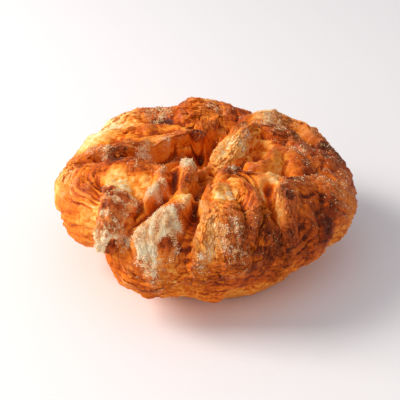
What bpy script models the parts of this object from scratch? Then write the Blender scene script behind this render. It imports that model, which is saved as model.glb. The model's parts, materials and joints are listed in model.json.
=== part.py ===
"""A kouign-amann: one cake of laminated, sugared dough, gathered into a round tin and baked until puffed.

The cake is one solid. Its skin is worked out on a chart, a flat map of the cake seen from above. A place on
the chart is an azimuth in degrees (0 to the right, 90 to the back) and a distance in millimetres along the
skin, from the middle of the top over the rim and down the side to the foot. The chart is laid on a plain
dough cup, and the folds raise it: each fold is a puffed ridge along a crest line drawn on the chart, and
two folds leave a crease where they meet. A fold may lean, so that its crest hangs over the crease beside
it. Hollows are carved into the folds: each has a floor line on the chart, and walls that climb from it to
both sides.
"""

import math
from typing import NamedTuple

import bpy
import numpy as np

MM = 0.001

# The plain cup under the folds, in millimetres.
CUP_RADIUS = 41.0
CUP_RIM_HEIGHT = 17.0
CUP_TOP_HEIGHT = 28.0
FOOT_RADIUS = 26.5
FOOT_SHIFT = 4.0
CROWN_POWER = 2.6
CROWN_STEPS = 240
FLARE_POWER = 0.9
FLARE_STEPS = 120

# The cake isn't quite round: azimuth, radius as a share of CUP_RADIUS, and how much higher the rim is, in
# millimetres.
PLAN = (
    (0, 0.99, 1.0),
    (20, 1.04, 1.5),
    (40, 1.01, 1.5),
    (90, 1.00, 1.0),
    (135, 1.00, 1.0),
    (150, 0.985, 1.0),
    (165, 0.985, 1.0),
    (185, 0.97, 1.0),
    (196, 0.925, 2.4),
    (205, 0.865, 4.2),
    (222, 0.86, 2.8),
    (236, 0.935, 0.0),
    (250, 0.93, 0.4),
    (266, 0.90, 1.5),
    (288, 0.92, 0.5),
    (308, 0.90, 1.5),
    (325, 0.90, 3.0),
    (347, 0.98, 1.5),
)

# The grid of the skin: points around, and rings from the middle of the top to the foot.
AROUND = 420
RING_STEP = 0.7
TRIANGLES = 11600
FLAT_WITHIN = 0.06

# How folds arch, join and fade.
ARCH_SHOULDER = 2.2
ARCH_ROUNDNESS = 0.62
CREASE_SOFTNESS = 0.45
HOLLOW_WALL = 5.0
HOLLOW_POWER = 2.2
HOLLOW_REACH = 4.0
FOOT_FADE = 13.0
CREST_STEPS = 6
WARP = 0.6
WARP_SIZE = 6.5

# The slow swell and sink of the skin: size and height of each kind, and the seed of its noise.
WANDER = ((9.0, 1.2, 4), (4.0, 0.6, 5))

# The steps of the dough's layers around the rim.
LEDGE_MIDDLE = 45.0
LEDGE_SPREAD = 9.0
LEDGE_GAP = 2.3
LEDGE_DEPTH = 1.5
# How the steps sway up and down, and where they fade: sizes, heights and seeds again.
LEDGE_SWAY = ((14.0, 5.0, 6), (4.0, 0.8, 8))
LEDGE_FADE = ((7.0, 1.0, 7),)
LEDGE_SHARE = 0.7


class Fold(NamedTuple):
    """A puffed ridge of dough. The left side is the left of someone who walks along the crest."""

    crest: tuple  # (azimuth, distance) of the crest line's own points
    rise: tuple  # how far the crest stands above the cup, at even steps along it
    left: float  # distance from the crest to the fold's left edge
    right: float  # the same on the right
    lean: float = 0.0  # how far the crest is pulled to the left


FOLDS = {
    # The bodies of the petals: broad swellings that carry the ridges below.
    "back_left_body": Fold(((122, 20), (140, 30), (152, 38)), (7.0, 8.0, 7.0), 15, 13),
    "back_right_body": Fold(((28, 12), (14, 24), (2, 36)), (4.0, 4.6, 6.0), 14, 14),
    "right_body": Fold(((316, 20), (322, 31), (326, 42)), (5.5, 6.0, 5.5), 13, 13),
    "front_body": Fold(((280, 20), (274, 31), (270, 42)), (4.8, 5.6, 5.4), 14, 14),
    "front_left_body": Fold(((246, 22), (243, 33), (240, 43)), (3.8, 4.4, 5.0), 10, 10),
    "left_body": Fold(((212, 22), (204, 32), (200, 42)), (6.6, 6.8, 6.0), 12, 15),
    # The petal at the back left: its top, and the lip that hangs over the long crevice in front of it.
    "back_left_top": Fold(((106, 31), (120, 34), (131, 38), (144, 41)), (9.6, 10.0, 9.6, 7.4), 9, 8),
    "back_left_shoulder": Fold(((134, 24), (148, 31), (160, 35)), (8.6, 8.4, 7.6), 6, 6),
    "back_left_lip": Fold(
        (
            (96, 11.5), (119, 11.5), (146, 13.5), (160, 16.5), (168, 20.5), (171, 26), (170, 31.5),
            (170, 37),
        ),
        (8.5, 9.6, 9.6, 9.4, 9.0, 8.6, 8.0, 6.8),
        2.0,
        10,
        1.4,
    ),
    # The petal at the back: a broad lobe whose face runs down to the hole in the middle.
    "back_lobe": Fold(
        ((104, 31), (93, 30), (84, 29), (74, 29), (64, 31), (56, 32)),
        (9.5, 11.8, 12.0, 10.8, 8.4, 6.4),
        8,
        12,
    ),
    "back_tongue": Fold(((72, 5), (80, 12), (84, 21)), (4.5, 7.6, 9.6), 6, 6),
    # The petal at the back right: a scroll whose outer roll goes round a hollow and a small puff.
    "scroll_roll": Fold(
        (
            (330, 4), (10, 6), (36, 10), (46, 16), (45, 22), (36, 25), (27, 27), (18, 30), (11, 32),
            (5, 35), (357, 38),
        ),
        (5.0, 7.5, 9.2, 10.2, 10.4, 10.2, 9.8, 9.4, 8.8, 8.2, 7.2),
        5.5,
        6.5,
        -0.8,
    ),
    "scroll_back": Fold(
        ((58, 25), (49, 28), (43, 31), (36, 34), (27, 36), (16, 38)),
        (9.8, 10.9, 11.0, 10.4, 9.0, 7.6),
        7,
        2.6,
    ),
    "scroll_puff": Fold(
        ((347, 17), (356, 19.5), (3, 22.5), (1, 26), (354, 30)), (8.0, 9.9, 10.2, 9.4, 8.2), 4.4, 6.4
    ),
    # The petal at the right: a sheet with a raised edge, then ridges that run down to the rim.
    "right_edge": Fold(
        ((303, 13), (309, 18), (317, 21), (323, 25), (328, 29), (336, 32), (344, 35)),
        (9.2, 9.3, 9.3, 9.3, 9.3, 9.0, 8.2),
        2.2,
        7,
        1.0,
    ),
    "right_peak": Fold(((292, 16), (306, 15)), (10.2, 10.0), 3.4, 3.4),
    "right_ridge": Fold(((325, 28), (315, 32), (309, 36), (307, 40)), (9.3, 9.2, 8.8, 7.0), 9, 2.8, -1.0),
    "right_wall": Fold(((340, 35), (335, 40), (330, 45)), (7.6, 7.2, 4.4), 11, 10),
    "right_flank": Fold(((10, 39), (356, 42), (344, 45)), (7.4, 7.4, 6.0), 8, 10),
    # The petal at the front: a pocket with a rim round it, and two sugared ridges beside a smooth hollow.
    "front_pocket": Fold(((284, 21), (285, 28)), (8.6, 8.8), 5, 5),
    "pocket_rim": Fold(
        ((298, 16), (301, 23), (299, 29), (294, 34), (289, 38)), (9.0, 9.6, 9.6, 9.0, 7.6), 3.2, 5, 0.8
    ),
    "front_ridge": Fold(
        ((270, 27), (273, 32), (271, 36), (269, 39), (270, 43)), (8.4, 8.5, 8.1, 6.7, 5.4), 7, 2.6, -0.8
    ),
    "front_flank": Fold(((305, 36), (298, 39), (292, 43)), (6.4, 6.6, 5.0), 6, 6),
    "front_shoulder": Fold(
        ((281, 29), (284, 33), (284, 37), (284, 41), (284, 44)), (9.0, 9.7, 9.5, 8.0, 5.6), 5.0, 9
    ),
    "front_left_ridge": Fold(
        ((262, 26), (258, 30), (257, 34), (256.5, 37), (255.5, 40), (254, 43)),
        (8.8, 9.8, 10.0, 9.3, 7.8, 5.8),
        3.8,
        9.5,
        -0.6,
    ),
    "front_left_cheek": Fold(
        ((250, 32), (246.5, 36), (244, 39), (244, 42)), (6.2, 8.0, 7.8, 6.0), 10, 3.4
    ),
    # The petal at the left: a pale shelf, its sugared knobs, the tip that reaches the middle and the tip's
    # curled edge.
    "left_shelf": Fold(
        ((215, 16), (205, 18), (196, 22), (189, 27), (187, 31), (184, 35)),
        (8.4, 8.8, 8.8, 8.6, 8.2, 7.6),
        12,
        3.4,
        -0.6,
    ),
    "shelf_knob": Fold(((226, 18), (238, 22), (240, 27)), (9.2, 9.4, 8.2), 4, 4),
    "left_tip": Fold(((236, 9), (249, 14), (252, 21)), (8.6, 9.4, 8.4), 4, 6.5, 0.6),
    "tip_edge": Fold(
        ((266, 12), (263, 18), (261, 23), (254, 26), (245, 27)), (7.6, 7.8, 7.6, 7.0, 6.0), 1.6, 2.2
    ),
    "middle_curl": Fold(((272, 14), (275, 21)), (7.0, 7.6), 3, 3),
    "shelf_end": Fold(((171, 36), (179, 39), (187, 39), (194, 37)), (7.0, 7.4, 7.4, 7.4), 5, 5),
    # The corner of the sheet that stands up at the front left, dark and sugared.
    "standing_corner": Fold(
        ((215, 31), (222, 35), (227, 38.5), (230, 41)), (9.0, 10.0, 10.6, 10.6), 7, 2.0, -1.4
    ),
    # The rim, where the dough took the tin's shape and bulged over it.
    "left_rim": Fold(((178, 41), (192, 41), (204, 42), (214, 42)), (6.4, 6.8, 5.2, 3.0), 9, 6.5),
    "front_rim": Fold(
        ((232, 44), (241, 45), (251, 46), (262, 45), (274, 44), (288, 44), (302, 44), (314, 45)),
        (5.6, 6.0, 5.4, 4.6, 4.6, 4.6, 5.0, 4.6),
        7,
        7,
    ),
    "back_rim": Fold(
        ((100, 44), (80, 45), (60, 44), (40, 45), (20, 45)), (5.6, 6.2, 5.8, 6.0, 6.0), 10, 12
    ),
    "back_left_rim": Fold(((174, 43), (156, 45), (138, 45), (118, 45)), (6.0, 6.2, 6.4, 5.6), 12, 10),
}


class Hollow(NamedTuple):
    """A valley between folds, or the inside of one: the dough is no higher than its floor there."""

    crest: tuple  # (azimuth, distance) of the floor line's own points
    floor: tuple  # height of the floor above the cup, at even steps along it
    left: float  # distance from the floor line at which the wall is HOLLOW_WALL high
    right: float  # the same on the right


HOLLOWS = {
    "front_hollow": Hollow(((266, 22), (266, 26), (265, 30)), (4, 3, 3), 1.9, 1.9),
    "front_dish": Hollow(((266, 32), (265.5, 37), (263.5, 42)), (4.0, 3.8, 4.0), 3.2, 3.4),
    "left_crevice": Hollow(
        ((243, 24), (240.5, 29), (237, 33.5), (234.5, 36.5)), (3.4, 2.8, 3.0, 5.0), 3.0, 2.6
    ),
    "back_wall": Hollow(
        ((176, 36), (179, 27), (172, 20), (163, 13.5), (130, 7.5), (96, 7.5)),
        (5.0, 4.0, 3.0, 1.0, 0.0, -1.0),
        2.0,
        2.2,
    ),
    "middle_hole": Hollow(((95, 8), (100, 4), (250, 0.8)), (-1.5, -2.0, -0.5), 2.4, 3.0),
    "back_crevice": Hollow(((73, 20), (73, 15), (75, 10), (76, 5)), (6.8, 4.0, 1.0, -2.0), 2.2, 2.2),
    "scroll_hollow": Hollow(((25, 20), (10, 17), (352, 16)), (3.8, 3.2, 4.2), 3.4, 3.4),
    "scroll_groove": Hollow(((33, 22), (22, 25), (12, 28), (358, 32)), (6.4, 6.4, 6.2, 6.6), 1.5, 1.5),
    "right_crevice": Hollow(
        ((290, 5), (309, 10), (315, 15), (323, 19), (329, 23), (334, 27), (342, 31), (350, 34)),
        (0.0, 3.0, 4.5, 5.0, 5.0, 5.0, 5.5, 5.5),
        1.8,
        1.2,
    ),
    "right_valley": Hollow(((314, 27), (309, 31), (305, 37)), (4.4, 4.0, 4.8), 3.0, 3.0),
    "knob_valley": Hollow(((215, 10), (236, 15), (245, 21)), (5.0, 4.8, 5.0), 2.2, 2.2),
    "middle_valley": Hollow(((266, 7), (270, 15), (265, 20)), (1.0, 2.4, 3.6), 2.6, 2.6),
    "roll_hole": Hollow(((18, 35), (14, 36)), (6.0, 6.0), 1.8, 1.8),
    "corner_valley": Hollow(((203, 34), (210, 38), (213, 43)), (4.8, 4.4, 4.6), 3.6, 3.6),
    "wall_crease": Hollow(((336, 37.5), (330, 40), (325, 42), (324, 45)), (6.2, 5.2, 4.2, 3.0), 2.2, 2.2),
    "wall_groove": Hollow(((326, 35), (318, 38.5), (314, 42)), (7.4, 6.2, 4.8), 1.8, 1.8),
    "back_left_seam": Hollow(
        ((103, 34), (107, 41), (113, 48), (120, 56)), (7.6, 4.6, 2.4, 1.0), 2.4, 2.8
    ),
    "back_right_seam": Hollow(((55, 31), (51, 38), (45, 46), (38, 55)), (8.0, 4.6, 2.4, 1.0), 2.4, 2.8),
    "right_seam": Hollow(((9, 41), (5, 47), (358, 55)), (5.6, 3.2, 1.0), 2.2, 2.6),
    "left_seam": Hollow(((168, 45), (161, 50), (152, 57)), (4.4, 2.6, 0.8), 2.2, 2.6),
    "pocket_floor": Hollow(((285, 23), (286, 26)), (7.0, 7.2), 3.6, 3.6),
}


def outline():
    """Way along the skin, radius and height of the cup's half outline.

    The crown is a quarter of a superellipse, and below the rim the side flares in to the foot."""
    turn = np.linspace(0.0, math.pi / 2, CROWN_STEPS)
    crown_radius = CUP_RADIUS * np.sin(turn) ** (2 / CROWN_POWER)
    crown_height = CUP_RIM_HEIGHT + (CUP_TOP_HEIGHT - CUP_RIM_HEIGHT) * np.cos(turn) ** (2 / CROWN_POWER)
    fall = np.linspace(0.0, 1.0, FLARE_STEPS)[1:]
    flare_radius = FOOT_RADIUS + (CUP_RADIUS - FOOT_RADIUS) * np.cos(fall * math.pi / 2) ** FLARE_POWER
    flare_height = CUP_RIM_HEIGHT * (1 - fall)
    radius = np.concatenate([crown_radius, flare_radius])
    height = np.concatenate([crown_height, flare_height])
    way = np.concatenate([[0.0], np.cumsum(np.hypot(np.diff(radius), np.diff(height)))])
    return way, radius, height


WAY, RADIUS, HEIGHT = outline()
RIM_WAY = WAY[CROWN_STEPS - 1]
SLOPE_STEP = 0.8


def slope(distance, values):
    """Change of a value of the outline over a short step to both sides of the distance."""
    before = np.maximum(distance - SLOPE_STEP, 0)
    return np.interp(distance + SLOPE_STEP, WAY, values) - np.interp(before, WAY, values)


def on_cup(chart):
    """Points and outward directions of the plain cup: the outline turned round, then shaped by PLAN."""
    distance = np.hypot(chart[:, 0], chart[:, 1])
    away = chart / np.maximum(distance, 1e-9)[:, None]
    r = np.interp(distance, WAY, RADIUS)
    z = np.interp(distance, WAY, HEIGHT)
    dr, dz = slope(distance, RADIUS), slope(distance, HEIGHT)
    size = np.maximum(np.hypot(dr, dz), 1e-9)
    azimuth = np.degrees(np.arctan2(chart[:, 1], chart[:, 0])) % 360
    compass, share, lift = (list(column) for column in zip(*PLAN))
    near_rim = np.where(distance < RIM_WAY, (r / CUP_RADIUS) ** 3, np.clip(z / CUP_RIM_HEIGHT, 0, 1))
    r = r * (1 + near_rim * (np.interp(azimuth, compass, share, period=360) - 1))
    z = z + near_rim * np.interp(azimuth, compass, lift, period=360)
    points = np.column_stack([away * r[:, None], z])
    points[:, 0] += FOOT_SHIFT * (1 - np.clip(z / CUP_RIM_HEIGHT, 0, 1)) ** 1.5
    outward = np.column_stack([away * (-dz / size)[:, None], dr / size])
    return points, outward


def crest_line(crest):
    """Points of a smooth line through the crest's own points: a Catmull-Rom curve on the chart."""
    polar = np.radians([a for a, _ in crest]), np.array([d for _, d in crest], float)
    own = np.column_stack([np.cos(polar[0]) * polar[1], np.sin(polar[0]) * polar[1]])
    own = np.vstack([2 * own[0] - own[1], own, 2 * own[-1] - own[-2]])
    line = []
    for before, start, end, after in zip(own, own[1:], own[2:], own[3:]):
        for t in np.arange(CREST_STEPS) / CREST_STEPS:
            line.append(
                0.5
                * (
                    2 * start
                    + (end - before) * t
                    + (2 * before - 5 * start + 4 * end - after) * t**2
                    + (3 * start - before - 3 * end + after) * t**3
                )
            )
    return np.array([*line, own[-2]])


def measure(fold, chart):
    """How a fold lies around each place, as three arrays.

    They are the share of the way out to the fold's edge, the way along its crest from 0 to 1, and the
    direction to the crest's left."""
    line = crest_line(fold.crest)
    start, run = line[:-1], np.diff(line, axis=0)
    length = np.hypot(run[:, 0], run[:, 1])
    heading = run / length[:, None]
    offset = chart[:, None, :] - start[None]
    along = offset[..., 0] * heading[:, 0] + offset[..., 1] * heading[:, 1]
    across = offset[..., 1] * heading[:, 0] - offset[..., 0] * heading[:, 1]
    beyond = along - np.clip(along, 0, length)
    side = np.where(across > 0, fold.left, fold.right)
    share = np.hypot(beyond / math.sqrt(fold.left * fold.right), across / side)
    nearest = share.argmin(axis=1)
    row = np.arange(len(chart))
    way = (nearest + np.clip(along[row, nearest] / length[nearest], 0, 1)) / len(length)
    left = np.column_stack([-heading[nearest, 1], heading[nearest, 0]])
    return share[row, nearest], way, left


def carve(rise, chart):
    """The soft minimum of the rise and of every hollow's limit, which climbs from its floor both ways."""
    low = rise
    for hollow in HOLLOWS.values():
        share, way, _ = measure(hollow, chart)
        floor = np.interp(way, np.linspace(0, 1, len(hollow.floor)), hollow.floor)
        limit = floor + HOLLOW_WALL * np.minimum(share, HOLLOW_REACH) ** HOLLOW_POWER
        least = np.minimum(low, limit)
        low = least - CREASE_SOFTNESS * np.log(
            np.exp((least - low) / CREASE_SOFTNESS) + np.exp((least - limit) / CREASE_SOFTNESS)
        )
    return low


def raise_folds(chart):
    """The dough's rise above the cup at each place, and how far leaning folds pull the place sideways.

    A fold's cross-section is a puffed arch. The rise is a soft maximum over all the folds, which leaves
    creases, and then the hollows are carved out of it."""
    rises, pulls = [], []
    spot = np.column_stack([chart / WARP_SIZE, np.zeros(len(chart))])
    chart = chart + WARP * np.column_stack([noise(spot, 11), noise(spot, 12)])
    for fold in FOLDS.values():
        share, way, left = measure(fold, chart)
        crest = np.interp(way, np.linspace(0, 1, len(fold.rise)), fold.rise)
        arch = np.clip(1 - share**ARCH_SHOULDER, 0, 1) ** ARCH_ROUNDNESS
        rises.append(crest * arch)
        pulls.append(left * (fold.lean * arch**2)[:, None])
    rises = np.array(rises)
    top = rises.max(axis=0)
    weights = np.exp((rises - top) / CREASE_SOFTNESS)
    total = weights.sum(axis=0)
    pull = (np.array(pulls) * (weights / total)[..., None]).sum(axis=0)
    return carve(top, chart), pull


def noise(points, seed):
    """Gradient noise from -1 to 1: slopes drawn at the corners of unit cells, blended by a quintic fade."""
    draw = np.random.default_rng(seed)
    order = np.concatenate([draw.permutation(256)] * 3)
    slopes = draw.normal(size=(256, 3))
    slopes /= np.linalg.norm(slopes, axis=1)[:, None]
    cell = np.floor(points).astype(int)
    inside = points - cell
    fade = inside**3 * (inside * (inside * 6 - 15) + 10)
    cell &= 255
    total = np.zeros(len(points))
    for dx in (0, 1):
        for dy in (0, 1):
            for dz in (0, 1):
                corner = order[order[order[cell[:, 0] + dx] + cell[:, 1] + dy] + cell[:, 2] + dz]
                slope = (slopes[corner] * (inside - (dx, dy, dz))).sum(axis=1)
                weight = np.abs(fade - (1 - dx, 1 - dy, 1 - dz)).prod(axis=1)
                total += slope * weight
    return total * 1.6


def swell(plain, kinds):
    """Sum of noises over the cup's points, each with its own size, height and seed."""
    return sum(height * noise(plain / size, seed) for size, height, seed in kinds)


def ledges(chart, plain):
    """Edges of the dough's layers around the rim: steps that rise slowly and then break off."""
    distance = np.hypot(chart[:, 0], chart[:, 1])
    step = (distance + swell(plain, LEDGE_SWAY)) / LEDGE_GAP % 1.0
    near = np.exp(-(((distance - LEDGE_MIDDLE) / LEDGE_SPREAD) ** 2))
    near *= np.clip(LEDGE_SHARE + swell(plain, LEDGE_FADE), 0, 1)
    return LEDGE_DEPTH * near * (np.minimum(step, (1 - step) * 4) - 0.4)


def skin(chart):
    """The dough's surface over places on the chart, in millimetres."""
    distance = np.hypot(chart[:, 0], chart[:, 1])
    keep = np.clip((WAY[-1] - distance) / FOOT_FADE, 0, 1)
    keep = keep * keep * (3 - 2 * keep)
    plain, _ = on_cup(chart)
    rise, pull = raise_folds(chart)
    points, outward = on_cup(chart + pull * keep[:, None])
    lift = rise + swell(plain, WANDER) + ledges(chart, plain)
    return points + outward * (lift * keep)[:, None]


def build_cake():
    """The cake's skin as a closed mesh: rings of points from the top's middle to the foot, and a bottom."""
    rings = np.append(np.arange(RING_STEP, WAY[-1], RING_STEP)[:-1], WAY[-1])
    azimuth = np.arange(AROUND) * 2 * math.pi / AROUND
    ring = np.column_stack([np.cos(azimuth), np.sin(azimuth)])
    points = skin(np.concatenate([[(0.0, 0.0)], *(ring * distance for distance in rings)]))
    last = 1 + AROUND * (len(rings) - 1)
    points[last:, 2] = 0.0
    points[:, 2] = np.maximum(points[:, 2], 0.0)
    faces = []
    for j in range(AROUND):
        following = (j + 1) % AROUND
        faces.append((0, 1 + j, 1 + following))
        for inner in range(1, last, AROUND):
            outer = inner + AROUND
            faces.append((inner + j, outer + j, outer + following, inner + following))
    faces.append([last + j for j in reversed(range(AROUND))])
    mesh = bpy.data.meshes.new("cake")
    mesh.from_pydata((points * MM).tolist(), [], faces)
    mesh.update()
    return mesh


def thin_out(mesh, triangles):
    """The same closed surface with about this many triangles, on its flat bottom and centred on its box."""
    cake = bpy.data.objects.new("pastry", mesh)
    bpy.context.scene.collection.objects.link(cake)
    mesh.calc_loop_triangles()
    fewer = cake.modifiers.new("fewer", "DECIMATE")
    fewer.ratio = triangles / len(mesh.loop_triangles)
    fewer.use_collapse_triangulate = True
    thinned = bpy.data.meshes.new_from_object(cake.evaluated_get(bpy.context.evaluated_depsgraph_get()))
    cake.modifiers.remove(fewer)
    cake.data = thinned
    points = np.empty(len(thinned.vertices) * 3)
    thinned.vertices.foreach_get("co", points)
    points = points.reshape(-1, 3)
    points[points[:, 2] < FLAT_WITHIN * MM, 2] = 0.0
    points[:, :2] -= (points[:, :2].min(axis=0) + points[:, :2].max(axis=0)) / 2
    thinned.vertices.foreach_set("co", points.ravel())
    thinned.update()
    return cake


def crust():
    """Baked laminated dough under a thin glaze of melted sugar."""
    material = bpy.data.materials.new("caramelised crust")
    material.use_nodes = True
    shader = material.node_tree.nodes["Principled BSDF"]
    shader.inputs["Base Color"].default_value = (0.52, 0.19, 0.035, 1)
    shader.inputs["Roughness"].default_value = 0.45
    return material


def main():
    for obj in list(bpy.data.objects):
        bpy.data.objects.remove(obj, do_unlink=True)
    cake = thin_out(build_cake(), TRIANGLES)
    cake.data.materials.clear()
    cake.data.materials.append(crust())
    cake.data.shade_smooth()
    print("cake:", len(cake.data.polygons), "triangles")


if __name__ == "__main__":
    main()
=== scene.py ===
# %% [markdown]
# # A kouign-amann
#
# A kouign-amann is a small round cake of bread dough that was folded again and again with butter and sugar.
# The baker gathers the corners of a square of it to the middle and bakes it in a round tin. The folds puff
# and open, the layers show at their edges, and the sugar melts to caramel. Here the whole crust is one
# surface that numpy works out. Sugar grains, loose flakes of crust and the edges of the layers are laid on
# it afterwards.

# %% Load the frame
import json
import math
from typing import NamedTuple

import bpy
import numpy as np
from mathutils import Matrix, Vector

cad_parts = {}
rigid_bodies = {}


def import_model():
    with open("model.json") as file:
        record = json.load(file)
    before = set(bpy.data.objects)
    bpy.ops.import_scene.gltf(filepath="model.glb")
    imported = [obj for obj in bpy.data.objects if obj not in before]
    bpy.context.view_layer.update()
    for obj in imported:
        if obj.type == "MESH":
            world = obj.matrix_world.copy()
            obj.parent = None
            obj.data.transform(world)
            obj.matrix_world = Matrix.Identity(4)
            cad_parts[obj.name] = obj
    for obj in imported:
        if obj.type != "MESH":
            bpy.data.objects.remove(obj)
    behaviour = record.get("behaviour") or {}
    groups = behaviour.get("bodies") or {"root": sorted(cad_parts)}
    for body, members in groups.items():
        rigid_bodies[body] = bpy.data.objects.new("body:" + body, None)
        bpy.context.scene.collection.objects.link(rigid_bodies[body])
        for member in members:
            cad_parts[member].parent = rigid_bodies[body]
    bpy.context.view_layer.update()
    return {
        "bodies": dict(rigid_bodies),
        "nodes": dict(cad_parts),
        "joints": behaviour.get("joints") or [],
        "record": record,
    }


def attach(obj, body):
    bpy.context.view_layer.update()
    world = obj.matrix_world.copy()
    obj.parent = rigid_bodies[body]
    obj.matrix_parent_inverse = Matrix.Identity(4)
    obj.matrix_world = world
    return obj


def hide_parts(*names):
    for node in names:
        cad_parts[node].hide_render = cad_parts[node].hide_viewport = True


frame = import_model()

MM = 0.001

# %% [markdown]
# ## The chart
#
# It is hard to draw folds straight onto a lumpy solid. So they are drawn on a chart, a flat map of the cake
# seen from above, as a cook would draw them on paper. A place on it has an azimuth in degrees (0 to the
# right, 90 to the back) and a distance in millimetres along the skin from the middle of the top. A distance
# of 45 is the rim, and 68 is the edge of the foot. The first step lays the chart on a plain dough cup.

# %% The plain cup
CUP_RADIUS = 41.0
CUP_RIM_HEIGHT = 17.0
CUP_TOP_HEIGHT = 28.0
FOOT_RADIUS = 26.5
FOOT_SHIFT = 4.0  # how far the foot stands to the right of the rim's middle
SHIFT_POWER = 1.5
CROWN_POWER = 2.6
FLARE_POWER = 0.9
PLAN_POWER = 3  # how soon the plan's shape comes in on the way from the middle to the rim
CROWN_STEPS = 240
FLARE_STEPS = 120
SLOPE_REACH = 0.8  # how far to both sides a slope is measured
TINY = 1e-9

# The cake isn't quite round: azimuth, radius as a share of CUP_RADIUS, and how much higher the rim is, in
# millimetres.
PLAN = (
    (0, 0.99, 1.0), (20, 1.04, 1.5), (40, 1.01, 1.5), (90, 1.00, 1.0), (135, 1.00, 1.0), (150, 0.985, 1.0),
    (165, 0.985, 1.0), (185, 0.97, 1.0), (196, 0.925, 2.4), (205, 0.865, 4.2), (222, 0.86, 2.8),
    (236, 0.935, 0.0), (250, 0.93, 0.4), (266, 0.90, 1.5), (288, 0.92, 0.5), (308, 0.90, 1.5),
    (325, 0.90, 3.0), (347, 0.98, 1.5),
)


def outline():
    """Way along the skin, radius and height of the cup's half outline: a superellipse crown, then a flare."""
    turn = np.linspace(0.0, math.pi / 2, CROWN_STEPS)
    crown_radius = CUP_RADIUS * np.sin(turn) ** (2 / CROWN_POWER)
    crown_height = CUP_RIM_HEIGHT + (CUP_TOP_HEIGHT - CUP_RIM_HEIGHT) * np.cos(turn) ** (2 / CROWN_POWER)
    fall = np.linspace(0.0, 1.0, FLARE_STEPS)[1:]
    flare_radius = FOOT_RADIUS + (CUP_RADIUS - FOOT_RADIUS) * np.cos(fall * math.pi / 2) ** FLARE_POWER
    flare_height = CUP_RIM_HEIGHT * (1 - fall)
    radius = np.concatenate([crown_radius, flare_radius])
    height = np.concatenate([crown_height, flare_height])
    way = np.concatenate([[0.0], np.cumsum(np.hypot(np.diff(radius), np.diff(height)))])
    return way, radius, height


WAY, RADIUS, HEIGHT = outline()
RIM_WAY = WAY[CROWN_STEPS - 1]


def distance_of(chart):
    """Distance of places on the chart from its middle."""
    return np.hypot(chart[:, 0], chart[:, 1])


def azimuth_of(chart):
    """Azimuth of places on the chart, in degrees."""
    return np.degrees(np.arctan2(chart[:, 1], chart[:, 0]))


def limited(values):
    """The values, held between 0 and 1."""
    return np.clip(values, 0, 1)


def directions(vectors):
    """The vectors, each at length 1."""
    return vectors / np.maximum(np.linalg.norm(vectors, axis=-1, keepdims=True), TINY)


def on_cup(chart):
    """Points and outward directions of the plain cup: the outline turned round, then shaped by PLAN."""
    distance = distance_of(chart)
    away = chart / np.maximum(distance, TINY)[:, None]
    r, z = (np.interp(distance, WAY, values) for values in (RADIUS, HEIGHT))
    before, beyond = np.maximum(distance - SLOPE_REACH, 0), distance + SLOPE_REACH
    dr, dz = (np.interp(beyond, WAY, values) - np.interp(before, WAY, values) for values in (RADIUS, HEIGHT))
    size = np.maximum(np.hypot(dr, dz), TINY)
    azimuth = azimuth_of(chart) % 360
    compass, share, lift = (list(column) for column in zip(*PLAN))
    near_rim = np.where(distance < RIM_WAY, (r / CUP_RADIUS) ** PLAN_POWER, limited(z / CUP_RIM_HEIGHT))
    r = r * (1 + near_rim * (np.interp(azimuth, compass, share, period=360) - 1))
    z = z + near_rim * np.interp(azimuth, compass, lift, period=360)
    points = np.column_stack([away * r[:, None], z])
    points[:, 0] += FOOT_SHIFT * (1 - limited(z / CUP_RIM_HEIGHT)) ** SHIFT_POWER
    outward = np.column_stack([away * (-dz / size)[:, None], dr / size])
    return points, outward


def places(pairs):
    """Chart points, as flat x and y, of a list of (azimuth, distance)."""
    azimuth, distance = np.array(list(pairs), float).T
    azimuth = np.radians(azimuth)
    return np.column_stack([np.cos(azimuth) * distance, np.sin(azimuth) * distance])


print(f"the cup's skin is {WAY[-1]:.1f} mm from the middle to the foot, with the rim at {RIM_WAY:.1f} mm")

# %% [markdown]
# ## Noise
#
# Dough bakes unevenly at every size, from the way a petal leans down to the crumbs. Gradient noise gives
# that: each corner of a grid of cells gets a random slope, and the slopes are blended across the cell. Cell
# noise gives the blisters: each cell holds one random point, and the value is the distance to the nearest
# one.

# %% Noise functions
LATTICE = 256  # how many slopes or spots are drawn, before they repeat
NOISE_SCALE = 1.6  # brings gradient noise to about -1 to 1


def lookup(cell, order):
    """A number below LATTICE for each cell, the same each time for the same cell."""
    x, y, z = (cell & (LATTICE - 1)).T
    return order[order[order[x] + y] + z]


def noise(points, seed):
    """Gradient noise from -1 to 1: slopes drawn at the corners of unit cells, blended by a quintic fade."""
    draw = np.random.default_rng(seed)
    order = np.concatenate([draw.permutation(LATTICE)] * 3)
    slopes = directions(draw.normal(size=(LATTICE, 3)))
    cell = np.floor(points).astype(int)
    inside = points - cell
    fade = inside**3 * (inside * (inside * 6 - 15) + 10)
    total = np.zeros(len(points))
    for corner in np.ndindex(2, 2, 2):
        slope = (slopes[lookup(cell + corner, order)] * (inside - corner)).sum(axis=1)
        total += slope * np.abs(fade - 1 + corner).prod(axis=1)
    return total * NOISE_SCALE


def mixed(points, *parts):
    """Sum of noises, each given by its size in millimetres, its seed and its height."""
    return sum(noise(points / size, seed) * height for size, seed, height in parts)


def chart_noise(chart, size, seed):
    """Noise that is read on the flat chart."""
    return noise(np.column_stack([chart / size, np.zeros(len(chart))]), seed)


def cells(points, seed):
    """Distance to the nearest of one random point in each unit cell, and that point's own random number."""
    draw = np.random.default_rng(seed)
    order = np.concatenate([draw.permutation(LATTICE)] * 3)
    spots = draw.random((LATTICE, 3))
    chance = draw.random(LATTICE)
    nearest = np.full(len(points), np.inf)
    luck = np.zeros(len(points))
    for neighbour in np.ndindex(3, 3, 3):
        cell = np.floor(points).astype(int) + neighbour - 1
        key = lookup(cell, order)
        away = np.linalg.norm(cell + spots[key] - points, axis=1)
        luck = np.where(away < nearest, chance[key], luck)
        nearest = np.minimum(nearest, away)
    return nearest, luck


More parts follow.
